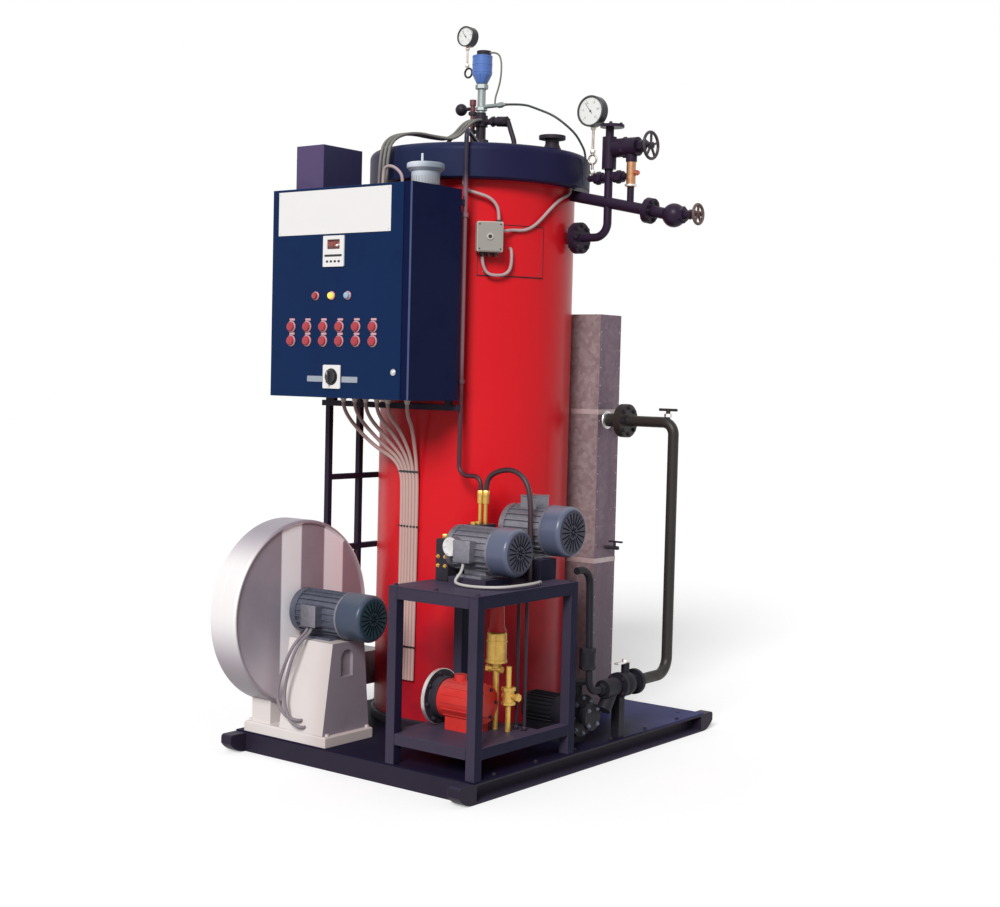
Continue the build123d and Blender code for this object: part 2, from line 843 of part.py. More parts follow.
# The half round the inlet, with a lip that a duct slides over
with BuildPart() as blower_inlet_ring:
    with BuildSketch(Plane.XZ.offset(-drum_y)):
        with BuildLine():
            Polyline((drum_split, drum_z + inlet_r), (drum_split, drum_top), (drum_left + drum_bead, drum_top),
                     (drum_left, drum_top - drum_bead), (drum_left, drum_z + inlet_r + inlet_lip_width),
                     (drum_left - inlet_lip, drum_z + inlet_r + inlet_lip_width),
                     (drum_left - inlet_lip, drum_z + inlet_r), close=True)
        make_face()
    revolve(axis=Axis((0, drum_y, drum_z), (1, 0, 0)))
keep(blower_inlet_ring, "blower_inlet_ring")

# Plinth on the deck with a saddle under the drum
plinth_top = deck_top + plinth_height
with BuildPart() as blower_plinth:
    block((plinth_left, plinth_front, deck_top), (plinth_right, plinth_back, plinth_top))
    chamfer(blower_plinth.faces().sort_by(Axis.Z)[-1].edges(), 5)
    block((drum_left + saddle_inset, plinth_front + saddle_inset, plinth_top),
          (drum_right - saddle_inset, plinth_back - saddle_inset, saddle_top))
    cut_drum_space()
keep(blower_plinth, "blower_plinth")

# Pedestal: tapered sheet box with an arched hand hole
pedestal_lean = (pedestal_top_front - pedestal_bottom_front) / (pedestal_top_z - plinth_top)
with BuildPart() as blower_pedestal:
    with BuildSketch(Plane.YZ.offset(pedestal_left)):
        with BuildLine():
            Polyline((pedestal_bottom_front, plinth_top), (pedestal_bottom_back, plinth_top),
                     (pedestal_top_back, pedestal_top_z), (pedestal_top_front, pedestal_top_z), close=True)
        make_face()
    extrude(amount=pedestal_right - pedestal_left)
    with BuildSketch(Plane.YZ.offset(pedestal_right)):
        with Locations(((pedestal_bottom_front + pedestal_bottom_back) / 2, pedestal_hole_z)):
            Rectangle(pedestal_hole_width, pedestal_hole_height - pedestal_hole_width / 2)
            with Locations((0, (pedestal_hole_height - pedestal_hole_width / 2) / 2)):
                Circle(pedestal_hole_width / 2)
    extrude(amount=-pedestal_wall, mode=Mode.SUBTRACT)
keep(blower_pedestal, "blower_pedestal")

# Air duct from the drum to the foot of the jacket
duct_z_low = drum_z - drum_r + duct_rise
duct_right = duct_left + duct_width
duct_end = boiler_y - sqrt(jacket_r ** 2 - (boiler_x - duct_right) ** 2) + duct_overrun
with BuildPart() as air_duct:
    block((duct_left, drum_y, duct_z_low), (duct_right, duct_end, duct_z_low + duct_height))
    cut_drum_space()
    cut_boiler_space(curved_gap)
keep(air_duct, "air_duct")

with BuildPart() as blower_motor_piece:
    motor(**blower_motor, foot_z=pedestal_top_z, box_side="front")
keep(blower_motor_piece, "blower_motor")

# Pump frame: posts, rails and top plate
rail_top = frame_top - frame_plate
posts = [(frame_left, frame_front), (frame_right - frame_bar, frame_front),
         (frame_right - frame_bar, frame_back - frame_bar), (frame_left, frame_mid_y)]
with BuildPart() as frame_posts:
    for post_x, post_y in posts:
        block((post_x, post_y, deck_top), (post_x + frame_bar, post_y + frame_bar, rail_top))
keep(frame_posts, "frame_posts")

with BuildPart() as frame_rails:
    for rail_z in (rail_top - frame_bar, frame_low_rail):
        block((frame_left + frame_bar, frame_front, rail_z),
              (frame_right - frame_bar, frame_front + frame_bar, rail_z + frame_bar))
        block((frame_right - frame_bar, frame_front + frame_bar, rail_z),
              (frame_right, frame_back - frame_bar, rail_z + frame_bar))
        block((frame_left, frame_front + frame_bar, rail_z),
              (frame_left + frame_bar, frame_mid_y, rail_z + frame_bar))
        block((frame_left + frame_bar, frame_mid_y, rail_z),
              (frame_right - frame_bar, frame_mid_y + frame_bar, rail_z + frame_bar))
keep(frame_rails, "frame_rails")

# Frame plates: top plate with raised motor blocks, and the low pump shelf
shelf_z = frame_low_rail + frame_bar
with BuildPart() as frame_plates:
    block((frame_left, frame_front, rail_top), (frame_right, frame_back, frame_top))
    block((front_motor["x"] + 20, front_motor["y"] - 90, frame_top),
          (front_motor["x"] + 210, front_motor["y"] + 90, frame_top + front_block))
    block((rear_motor["x"] + 30, rear_motor["y"] - 85, frame_top),
          (rear_motor["x"] + 215, rear_motor["y"] + 20, frame_top + rear_block))
    block((frame_left + frame_bar, frame_front + frame_bar, shelf_z - frame_plate),
          (frame_right - frame_bar, frame_mid_y, shelf_z))
keep(frame_plates, "frame_plates")

# Pump motors, each on a raised block; the front one has a round cover on its drive end
end_cover_x = front_motor["x"] + 43
end_cover_z = front_motor["z"] + 12
with BuildPart() as pump_motors:
    rod((end_cover_x, front_motor["y"] - 60, end_cover_z),
        (end_cover_x, front_motor["y"] - 108, end_cover_z), 38)
    motor(**front_motor, foot_z=frame_top + front_block, box_side="front")
    motor(**rear_motor, foot_z=frame_top + rear_block, box_side="top")
keep(pump_motors, "pump_motors")

# Water pump beside the front motor: crankcase, and the block that carries the nipples
with BuildPart() as water_pump:
    block((pump_left, crankcase_front, frame_top),
          (front_motor["x"], nipple_block_front - 5, frame_top + crankcase_height))
    fillet(water_pump.edges().filter_by(Axis.Y), radius=8)
    block((pump_left, nipple_block_front, frame_top), (pump_left + 72, nipple_block_front + 130, pump_top))
    rod((pump_left + 72, rear_motor["y"], rear_motor["z"]),
        (rear_motor["x"], rear_motor["y"], rear_motor["z"]), 60)
keep(water_pump, "water_pump")

# Fuel pump: red body on a dark round flange
with BuildPart() as fuel_pump_flange:
    rod((fuel_flange_x, fuel_y, fuel_z), (fuel_flange_x + fuel_flange_thickness, fuel_y, fuel_z), fuel_flange_r)
    rod((fuel_flange_x + fuel_flange_thickness, fuel_y, fuel_z),
        (fuel_flange_x + 50, fuel_y, fuel_z), fuel_flange_r * 0.75)
keep(fuel_pump_flange, "fuel_pump_flange")

fuel_body_x = fuel_flange_x + 50
with BuildPart() as fuel_pump:
    rod((fuel_body_x, fuel_y, fuel_z), (fuel_body_x + fuel_body_length, fuel_y, fuel_z), fuel_body_r)
    block((fuel_body_x + 25, fuel_y - 50, shelf_z), (fuel_body_x + fuel_body_length - 25, fuel_y + 50, fuel_z))
    rod((fuel_body_x + 60, fuel_y, fuel_z), (fuel_body_x + 60, fuel_y, fuel_z + fuel_body_r + 25), 26)
keep(fuel_pump, "fuel_pump")

# Brass fittings: fuel filter bowl, fuel valve, pump nipples and the drain tap on the economiser
nipple_top = pump_top + nipple_height
with BuildPart() as brass_fittings:
    rod((filter_x, filter_y, filter_bottom), (filter_x, filter_y, filter_top), filter_r)
    fillet(brass_fittings.edges().filter_by(GeomType.CIRCLE).sort_by(Axis.Z)[-1], radius=14)
    rod((filter_x, filter_y, shelf_z), (filter_x, filter_y, filter_bottom), 12)
    rod((filter_x - 34, filter_y, filter_bottom - 27), (filter_x + 30, filter_y, filter_bottom - 27), 13)
    rod((fuel_line_x, filter_y, shelf_z), (fuel_line_x, filter_y, filter_bottom - 8), 11)
    rod((fuel_line_x, filter_y, filter_bottom - 148), (fuel_line_x, filter_y, filter_bottom - 106), 24)
    rod((fuel_line_x - 25, filter_y, filter_bottom - 127),
        (fuel_line_x + 40, filter_y, filter_bottom - 127), 13)
    for nipple_x in nipple_xs:
        rod((nipple_x, nipple_y, pump_top), (nipple_x, nipple_y, nipple_top), nipple_r)
        rod((nipple_x, nipple_y, nipple_top - 30), (nipple_x, nipple_y, nipple_top), nipple_r + 5)
    rod((box_right, drain_y, drain_z), (box_right + 70, drain_y, drain_z), 9)
    rod((box_right + 50, drain_y, drain_z), (box_right + 50, drain_y, drain_z + 26), 6)
    block((box_right + 20, drain_y - 6, drain_z + 24), (box_right + 90, drain_y + 6, drain_z + 32))
keep(brass_fittings, "brass_fittings")

# Loop hose from the second nipple down to the frame, and two thin lines under the frame's top
with BuildPart() as pump_hoses:
    hose_x = nipple_xs[1]
    cord([(hose_x, nipple_y, nipple_top), (hose_x, nipple_y, nipple_top + 40),
          (hose_x + 16, nipple_y, nipple_top + 85),
          (hose_x + 72, nipple_y, nipple_top + 112), (hose_x + 142, nipple_y, nipple_top + 118),
          (hose_x + 204, nipple_y, nipple_top + 82), (hose_x + 230, nipple_y, nipple_top + 10),
          (hose_x + 233, nipple_y, nipple_top - 130), (hose_x + 233, nipple_y, frame_top)], hose_r)
    for rod_x in rod_xs:
        rod((rod_x, rod_y, shelf_z), (rod_x, rod_y, rail_top), rod_r)
keep(pump_hoses, "pump_hoses")

# Feed pump set behind the frame: strainer, rising pipe and a pump with its motor on a foot
with BuildPart() as pump_parts:
    rise_x = feed_drop_x - 12
    suction_y = feed_end_y - 140
    tube([(feed_drop_x, suction_y, feed_low_z), (feed_drop_x, rise_y, feed_low_z), (rise_x, rise_y, rise_top),
          (rise_x, frame_back, rise_top)], [50, 60], rise_r)
    rod((feed_drop_x, suction_y - 20, feed_low_z), (feed_drop_x, suction_y - 110, feed_low_z), 38)
    rod((feed_drop_x, suction_y - 35, feed_low_z), (feed_drop_x, suction_y - 100, feed_low_z - 90), 30)
    rod((rise_x, rise_y, feed_low_z + 110), (rise_x, rise_y, feed_low_z + 170), 34)
    rod((pump_x, pump_y, pump_z), (pump_x + 85, pump_y, pump_z), 88)
    rod((pump_x + 85, pump_y, pump_z), (pump_x + 118, pump_y, pump_z), 34)
    rod((pump_x + 118, pump_y, pump_z), (pump_x + 134, pump_y, pump_z), 56)
    rod((pump_x - 190, pump_y, pump_z), (pump_x, pump_y, pump_z), 68)
    rod((pump_x + 42, pump_y, pump_z), (pump_x + 42, pump_y, pump_z + 130), 30)
    rod((pump_x + 42, pump_y, pump_z + 130), (pump_x + 42, pump_y, pump_z + 146), 50)
    block((pump_x - 170, pump_y - 55, deck_top), (pump_x + 60, pump_y + 55, pump_z - 30))
keep(pump_parts, "pump_parts")

# Economiser box at the back
with BuildPart() as economiser_box:
    block((box_left, box_front, deck_top), (box_right, box_back, box_top))
    cut_boiler_space(base_ring_wall + 2 * curved_gap)
keep(economiser_box, "economiser_box")

# Feed pipe from the economiser box down to the deck
flange_x = box_right + feed_neck
feed_start_x = flange_x + 2 * feed_flange_thickness
with BuildPart() as feed_pipe:
    rod((box_right, feed_y, feed_z), (flange_x, feed_y, feed_z), feed_neck_r)
    rod((flange_x, feed_y, feed_z), (feed_start_x, feed_y, feed_z), feed_flange_r)
    tube([(feed_start_x, feed_y, feed_z), (feed_drop_x, feed_y, feed_z),
          (feed_drop_x, feed_y, feed_low_z), (feed_drop_x, feed_end_y, feed_low_z)],
         [feed_bend * 0.7, feed_bend], feed_pipe_r)
    rod((feed_drop_x - 30, feed_y, feed_z), (feed_drop_x - 30, feed_y, feed_z + vent_height), 10)
    rod((feed_drop_x - 30 - vent_bar / 2, feed_y, feed_z + vent_height - 6),
        (feed_drop_x - 30 + vent_bar / 2, feed_y, feed_z + vent_height - 6), 6)
keep(feed_pipe, "feed_pipe")

with BuildPart() as feed_valve:
    rod((feed_drop_x, feed_end_y, feed_low_z), (feed_drop_x, feed_end_y - 18, feed_low_z), 55)
    rod((feed_drop_x, feed_end_y - 18, feed_low_z), (feed_drop_x, feed_end_y - 140, feed_low_z), 34)
    with Locations((feed_drop_x, feed_end_y - 80, feed_low_z)):
        Sphere(52)
    rod((feed_drop_x, feed_end_y - 80, feed_low_z), (feed_drop_x, feed_end_y - 80, feed_low_z + 90), 18)
    rod((feed_drop_x, feed_end_y - 122, feed_low_z), (feed_drop_x, feed_end_y - 140, feed_low_z), 55)
    block((feed_drop_x - 52, feed_end_y - 100, deck_top), (feed_drop_x - 12, feed_end_y - 60, feed_low_z))
keep(feed_valve, "feed_valve")

# Steam outlet from the jacket, riser and header
surface_x = boiler_x + sqrt(jacket_r ** 2 - (steam_y - boiler_y) ** 2)
header_from = (header_start[0], steam_y, header_start[1])
header_to = (header_end[0], steam_y, header_end[1])
header_way = (Vector(*header_to) - Vector(*header_from)).normalized()
header_fall = header_way.Z / header_way.X
outlet_valve_z = header_end[1] + header_fall * (outlet_valve_x - header_end[0])
with BuildPart() as steam_pipework:
    rod((surface_x - 30, steam_y, outlet_z), (outlet_face_x, steam_y, outlet_z), outlet_pipe_r)
    rod((outlet_face_x - outlet_flange_thickness, steam_y, outlet_z),
        (outlet_face_x + outlet_flange_thickness, steam_y, outlet_z), outlet_flange_r)
    tube([(outlet_face_x + outlet_flange_thickness, steam_y, outlet_z), (riser_x, steam_y, outlet_z),
          (riser_x, steam_y, riser_top)], [riser_bend], riser_r)
    rod((riser_x, steam_y, riser_body_low), (riser_x, steam_y, riser_body_high), riser_body_r)
    rod((riser_x + 12, steam_y, riser_top), (riser_x + 12, steam_y, riser_top + cap_thickness), cap_r)
    rod((link_left, steam_y, link_z), (brass_x - brass_r - curved_gap, steam_y, link_z), link_r)
    rod((riser_x - 70, steam_y, link_z), (riser_x - 30, steam_y, link_z), link_nut_r)
    rod((riser_x + 30, steam_y, link_z), (riser_x + 75, steam_y, link_z), link_nut_r)
    rod(header_from, header_to, header_r)
    rod((brass_x, steam_y, brass_low),
        (brass_x, steam_y, header_start[1] + header_fall * (brass_x - header_start[0])), drip_r)
    cut_boiler_space(curved_gap)
keep(steam_pipework, "steam_pipework")

# Stop valve with its handwheel
with BuildPart() as steam_valves:
    rod((riser_x + riser_body_r + 0.5, steam_y, stop_z), (brass_x + 34, steam_y, stop_z), stop_body_r)
    rod((brass_x + 34, steam_y, stop_z), (stop_wheel_x - 30, steam_y, stop_z), 20)
    rod((stop_wheel_x - 30, steam_y, stop_z), (stop_wheel_x + 12, steam_y, stop_z), 7)
    rod((brass_x, steam_y, brass_high), (brass_x, steam_y, stop_z), 24)
    rod(header_to, (outlet_valve_x, steam_y, outlet_valve_z), header_r)
    joint_low = Vector(*header_to) + header_way * joint_offset
    rod(joint_low, joint_low + header_way * (2 * joint_flange_thickness), joint_flange_r)
    with Locations((outlet_valve_x, steam_y, outlet_valve_z)):
        Sphere(50)
    rod((outlet_valve_x, steam_y, outlet_valve_z), (outlet_wheel_x - 26, steam_y, outlet_valve_z), 18)
    rod((outlet_wheel_x - 26, steam_y, outlet_valve_z), (outlet_wheel_x + 12, steam_y, outlet_valve_z), 6)
keep(steam_valves, "steam_valves")

with BuildPart() as stop_valve_wheel:
    handwheel(stop_wheel_x - 10, steam_y, stop_z, stop_wheel_r, 14, 20)
    rod((stop_wheel_x - 20, steam_y, stop_z), (stop_wheel_x + 20, steam_y, stop_z), 7 + wheel_gap,
        mode=Mode.SUBTRACT)
keep(stop_valve_wheel, "stop_valve_wheel")

with BuildPart() as safety_valve:
    rod((brass_x, steam_y, brass_low), (brass_x, steam_y, brass_high), brass_r)
keep(safety_valve, "safety_valve")

with BuildPart() as outlet_valve_wheel:
    handwheel(outlet_wheel_x - 10, steam_y, outlet_valve_z, outlet_wheel_r, 12, 20)
    rod((outlet_wheel_x - 20, steam_y, outlet_valve_z), (outlet_wheel_x + 20, steam_y, outlet_valve_z),
        6 + wheel_gap, mode=Mode.SUBTRACT)
keep(outlet_valve_wheel, "outlet_valve_wheel")

# Upright pipe that clears the head: from the cover plate, down the jacket on two clips, to the first nipple
pipe_out = head_overhang + pipe_head_gap
pipe_head = head_top + pipe_over_head
pipe_inner = on_jacket(pipe_angle, pipe_inner_reach - jacket_r, pipe_head)
with BuildPart() as jacket_pipe:
    tube([(pipe_inner[0], pipe_inner[1], head_top + cover_height), pipe_inner,
          on_jacket(pipe_angle, pipe_out, pipe_head), on_jacket(pipe_angle, pipe_out, nipple_top + 80),
          (nipple_xs[0], nipple_y, nipple_top + 80), (nipple_xs[0], nipple_y, nipple_top)],
         [24, 40, 45, 38], pipe_r)
    for clip_z in pipe_clip_zs:
        rod(on_jacket(pipe_angle, curved_gap, clip_z), on_jacket(pipe_angle, pipe_out, clip_z), 6)
        rod(on_jacket(pipe_angle, pipe_out, clip_z - 9), on_jacket(pipe_angle, pipe_out, clip_z + 9),
            pipe_r + 5)
keep(jacket_pipe, "jacket_pipe")

# Gauges
with BuildPart() as pressure_gauges:
    dial_gauge(big_gauge_x, steam_y - 30, big_gauge_z, big_gauge_r)
    rod((big_gauge_x, steam_y, big_gauge_z - big_gauge_r + 3),
        (big_gauge_x, steam_y, big_siphon_z + siphon_r - 2), gauge_stem_r)
    siphon(big_gauge_x, steam_y, big_siphon_z)
    rod((big_gauge_x, steam_y, big_siphon_z - siphon_r + 2),
        (big_gauge_x, steam_y, link_z + link_r + curved_gap), gauge_stem_r)
    dial_gauge(small_gauge_x, small_gauge_y - 20, small_gauge_z, small_gauge_r)
    rod((small_gauge_x, small_gauge_y, small_gauge_z - small_gauge_r + 3),
        (small_gauge_x, small_gauge_y, small_siphon_z + siphon_r), siphon_tube_r)
    siphon(small_siphon_x, small_gauge_y, small_siphon_z)
keep(pressure_gauges, "pressure_gauges")

# Level transmitter on the head: body, neck and legs
with BuildPart() as transmitter:
    cone((fit_x, fit_y, transmitter_low), (fit_x, fit_y, transmitter_low + 40), neck_r + 6, transmitter_r)
    rod((fit_x, fit_y, transmitter_low + 40), (fit_x, fit_y, transmitter_high), transmitter_r)
    rod((fit_x, fit_y, transmitter_foot), (fit_x, fit_y, transmitter_low), neck_r)
    rod((fit_x + 8, fit_y, transmitter_high), (fit_x + 8, fit_y, transmitter_high + transmitter_cap_height),
        transmitter_cap_r)
    rod((small_siphon_x + siphon_r + siphon_tube_r + curved_gap, fit_y, small_siphon_z),
        (fit_x, fit_y, small_siphon_z), 9)
keep(transmitter, "transmitter")

# Burner cover plate on the head and the valves and pipes that stand on it
cover_top = head_top + cover_height
with BuildPart() as head_fittings:
    with BuildSketch(Plane.XY.offset(head_top)):
        with Locations((boiler_x, boiler_y - 20)):
            Circle(cover_r)
    extrude(amount=cover_height)
    chamfer(head_fittings.edges().filter_by(GeomType.CIRCLE).sort_by(Axis.Z)[-1], 4)
    rod((fit_x, fit_y, cover_top), (fit_x, fit_y, transmitter_foot), 22)
    rod((fit_x, fit_y, manifold_z - 24), (fit_x, fit_y, manifold_z + 24), manifold_r)
    rod((side_pipe_x, fit_y, cover_top), (side_pipe_x, fit_y, side_pipe_top), 11)
    rod((side_pipe_x, fit_y, side_pipe_top - 26), (side_pipe_x, fit_y, side_pipe_top), 15)
    rod((side_pipe_x - 48, fit_y, knob_valve_z), (side_pipe_x, fit_y, knob_valve_z), 8)
    with Locations((side_pipe_x - 66, fit_y, knob_valve_z)):
        Sphere(27)
    rod((side_pipe_x, fit_y, manifold_z), (fit_x + 150, fit_y, manifold_z - 12), 13)
    rod((fit_x + 95, fit_y, manifold_z - 8), (fit_x + 140, fit_y, manifold_z - 12), 22)
    cord([(fit_x + 138, fit_y, manifold_z - 12), (fit_x + 152, fit_y, manifold_z - 14),
          (fit_x + 188, fit_y, manifold_z - 103), (fit_x + 188, fit_y, head_top)], 11)
    cord([(side_pipe_x, fit_y, manifold_z + 6), (side_pipe_x - 30, fit_y, manifold_z - 6),
          (side_pipe_x - 105, fit_y, manifold_z - 51), (side_pipe_x - 155, fit_y, manifold_z - 90),
          (side_pipe_x - 155, fit_y, head_top)], 8)
keep(head_fittings, "head_fittings")

# Thin hose in an arch from a fitting on the transmitter's neck to the steam pipework
hose_start = (fit_x + neck_r + curved_gap + hose_fitting_length, fit_y, hose_fitting_z)
hose_end = (link_left - curved_gap, steam_y, link_z)
hose_shares = ((0.27, 0.03, 210), (0.49, 0.09, 182), (0.70, 0.20, 152), (0.85, 0.35, 110), (0.92, 0.59, 73),
               (0.95, 0.77, 32), (0.965, 0.88, 3), (0.95, 0.97, -55))
with BuildPart() as head_hose:
    rod((fit_x + neck_r + curved_gap, fit_y, hose_fitting_z), hose_start, 9)
    rod((hose_start[0] - 36, fit_y, hose_fitting_z), (hose_start[0] - 12, fit_y, hose_fitting_z), 12)
    cord([(hose_start[0] - 10, fit_y, hose_fitting_z)]
         + [(hose_start[0] + across * (hose_end[0] - hose_start[0]), fit_y + back * (steam_y - fit_y),
             head_top + rise) for across, back, rise in hose_shares]
         + [(hose_end[0] - 18, steam_y, link_z), hose_end], head_hose_r)
keep(head_hose, "head_hose")

# Cables: from the panel roof to the head's manifold, to the alarm, on the transmitter, about the junction box,
# and from the blower motor's terminal box to the pedestal
roof_cable_y = panel_back - 60
alarm_cable_y = panel_back - 105
cap_side_x = fit_x + 8 + transmitter_cap_r + curved_gap
access_skin = access_thickness + 2 * curved_gap
with BuildPart() as service_cables:
    for index in (-1, 0, 1):
        shift = index * 3 * cable_r
        roof_x = panel_left + 397 + shift
        end_y = fit_y - sqrt(manifold_r ** 2 - (2 * index * cable_r) ** 2) - curved_gap
        cord([(roof_x, roof_cable_y, panel_top), (roof_x, roof_cable_y, panel_top + 170),
              (roof_x - 8, roof_cable_y + 65, head_top + 35), (roof_x - 15, roof_cable_y + 200, head_top + 70),
              (roof_x + 8, boiler_y - 215, head_top + 64), (fit_x - 65 + shift, boiler_y - 150, head_top + 60),
              (fit_x + shift, boiler_y - 115, manifold_z), (fit_x + shift, end_y, manifold_z)], cable_r)
    cord([(panel_left + 440, alarm_cable_y, panel_top), (panel_left + 440, alarm_cable_y, panel_top + 70),
          (panel_left + 452, alarm_cable_y, panel_top + 102), (panel_left + 496, alarm_cable_y, panel_top + 99),
          (panel_left + 536, alarm_cable_y, panel_top + 72), (panel_left + 550, alarm_cable_y, panel_top + 45),
          (panel_left + 550, alarm_cable_y, panel_top)], cable_r)
    cord([(cap_side_x, fit_y, transmitter_high + 10), (fit_x + 84, fit_y, transmitter_high + 10),
          (fit_x + 108, fit_y, transmitter_high - 30), (fit_x + 106, fit_y, transmitter_high - 106),
          (fit_x + 91, fit_y, transmitter_high - 156), (fit_x + 76, fit_y, transmitter_high - 190),
          (fit_x + 76, fit_y, hose_fitting_z + 9 + curved_gap)], 4)
    cord([on_jacket(-60, 30, jacket_top), on_jacket(-60, 30, jbox_z + 200), on_jacket(-53.4, 30, jbox_z + 185),
          on_jacket(-46, 30, jbox_z + 168), on_jacket(-42, 32, jbox_z + 135), on_jacket(-41, 36, jbox_z + 95),
          on_jacket(-41, 36, jbox_top)], cable_r)
    cord([by_jbox(jbox_width / 2 + curved_gap, 30, 30), by_jbox(jbox_width / 2 + 20, 30, 30),
          on_jacket(-32.8, 16, jbox_z + 37), on_jacket(-26.2, 14, jbox_z + 37),
          on_jacket(-21.1, 14, jbox_z + 51), on_jacket(-15.7, 14, jbox_z + 81), on_jacket(-4.9, 14, jbox_z + 158), on_jacket(3, 14, jbox_z + 195),
          on_jacket(12.3, 16, jbox_z + 220), on_jacket(12.3, 16, jacket_top)], cable_r)
    cord([on_jacket(-49.4, 40, jbox_low), on_jacket(-49.4, 40, jbox_z - 100),
          on_jacket(-47.6, 32, jbox_z - 140), on_jacket(-45, 30, jbox_z - 155),
          on_jacket(-41, 28, jbox_z - 157), on_jacket(-36.5, 22, jbox_z - 152),
          on_jacket(-33.3, 27, jbox_z - 125), on_jacket(-33.3, 27, jbox_z - 40),
          on_jacket(-33.3, access_skin, jbox_z - 40)], cable_r)
    for shift in (0, 3 * cable_r):
        lead_x = blower_motor["x"] + 125 + shift
        lead_end_z = plinth_top + 50 - 1.2 * shift
        lead_y = pedestal_bottom_front - 25
        lead_end_y = pedestal_bottom_front + (lead_end_z - cable_r - plinth_top) * pedestal_lean
        cord([(lead_x, motor_box_front + 20, motor_box_low), (lead_x, motor_box_front + 20, motor_box_low - 25),
              (lead_x - 10, pedestal_bottom_front - 20, motor_box_low - 75),
              (lead_x - 95 + shift, lead_y, drum_z - 300), (lead_x - 60 + shift, lead_y, drum_z - 390 - 1.2 * shift),
              (lead_x + 30, lead_y, lead_end_z), (lead_x + 30, lead_end_y, lead_end_z)], cable_r)
keep(service_cables, "service_cables")

# Conduits from the panel glands: each sags to the tie and then runs straight down the jacket
gland_low = panel_bottom - gland_height
with BuildPart() as panel_conduits:
    for index, place in enumerate(gland_places):
        gland_x = panel_left + place
        angle = bundle_first_angle + index * bundle_pitch_angle
        sag_z = bundle_tie_z + 60 + index * 2.2 * conduit_r
        tie = on_jacket(angle, 22, bundle_tie_z)
        middle_x = gland_x + 0.5 * (tie[0] - gland_x)
        rod((gland_x, gland_y, gland_low), (gland_x, gland_y, panel_bottom), gland_r)
        cord([(gland_x, gland_y, gland_low), (gland_x, gland_y, gland_low - 45),
              (middle_x, (gland_y + tie[1]) / 2, sag_z + 20), (tie[0], tie[1], bundle_tie_z + 10),
              on_jacket(angle, 12, bundle_tie_z - 160), on_jacket(angle - 1, 12, bundle_foot_z)], conduit_r)
keep(panel_conduits, "panel_conduits")
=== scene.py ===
"""Looks of a packaged vertical steam boiler on its skid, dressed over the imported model."""

import json
import math

import bmesh
import bpy
from mathutils import Matrix, Vector


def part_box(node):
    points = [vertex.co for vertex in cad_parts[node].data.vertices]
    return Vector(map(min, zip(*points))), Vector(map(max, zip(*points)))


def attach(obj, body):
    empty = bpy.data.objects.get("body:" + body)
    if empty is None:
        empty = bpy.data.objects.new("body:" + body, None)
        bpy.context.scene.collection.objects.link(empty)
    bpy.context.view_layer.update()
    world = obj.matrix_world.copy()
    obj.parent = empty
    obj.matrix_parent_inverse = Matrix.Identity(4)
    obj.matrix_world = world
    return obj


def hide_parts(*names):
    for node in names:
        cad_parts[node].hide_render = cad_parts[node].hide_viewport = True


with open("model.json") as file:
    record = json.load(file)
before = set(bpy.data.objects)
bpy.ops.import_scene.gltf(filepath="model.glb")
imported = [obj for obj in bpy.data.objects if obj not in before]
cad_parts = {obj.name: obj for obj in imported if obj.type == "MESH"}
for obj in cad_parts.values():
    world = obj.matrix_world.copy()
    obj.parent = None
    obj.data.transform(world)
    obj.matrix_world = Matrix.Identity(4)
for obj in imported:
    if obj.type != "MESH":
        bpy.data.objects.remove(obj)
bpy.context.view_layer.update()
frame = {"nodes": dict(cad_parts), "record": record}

# Ways that a piece can face

UP, DOWN = (0, 0, 1), (0, 0, -1)
RIGHT, LEFT = (1, 0, 0), (-1, 0, 0)
FRONT, BACK = (0, -1, 0), (0, 1, 0)

# Camera

camera_data = bpy.data.cameras.new("camera")
camera_data.sensor_width = 36.0
camera_data.lens = 56.11
camera = bpy.data.objects.new("camera", camera_data)
bpy.context.scene.collection.objects.link(camera)
yaw, pitch, roll = math.radians(37.62), math.radians(2.87), math.radians(1.41)
forward = Vector((-math.sin(yaw) * math.cos(pitch), math.cos(yaw) * math.cos(pitch), -math.sin(pitch)))
level_right = Vector((math.cos(yaw), math.sin(yaw), 0.0))
level_up = level_right.cross(forward)
right = math.cos(roll) * level_right + math.sin(roll) * level_up
up = math.cos(roll) * level_up - math.sin(roll) * level_right
camera.matrix_world = Matrix((
    (right.x, up.x, -forward.x, 4.237),
    (right.y, up.y, -forward.y, -5.394),
    (right.z, up.z, -forward.z, 1.62),
    (0, 0, 0, 1)))
bpy.context.scene.camera = camera

# Shader maths


class Value:
    """One value in a material. Python's operators add its Math nodes."""

    def __init__(self, finish, socket):
        self.finish = finish
        self.socket = socket

    def maths(self, operation, *others):
        return self.finish.node("ShaderNodeMath", {"operation": operation},
                                dict(enumerate((self, *others))))

    def __add__(self, other):
        return self.maths("ADD", other)

    def __radd__(self, other):
        return self.maths("ADD", other)

    def __rsub__(self, other):
        return (self * -1.0).maths("ADD", other)

    def __mul__(self, other):
        return self.maths("MULTIPLY", other)

    def __rmul__(self, other):
        return self.maths("MULTIPLY", other)


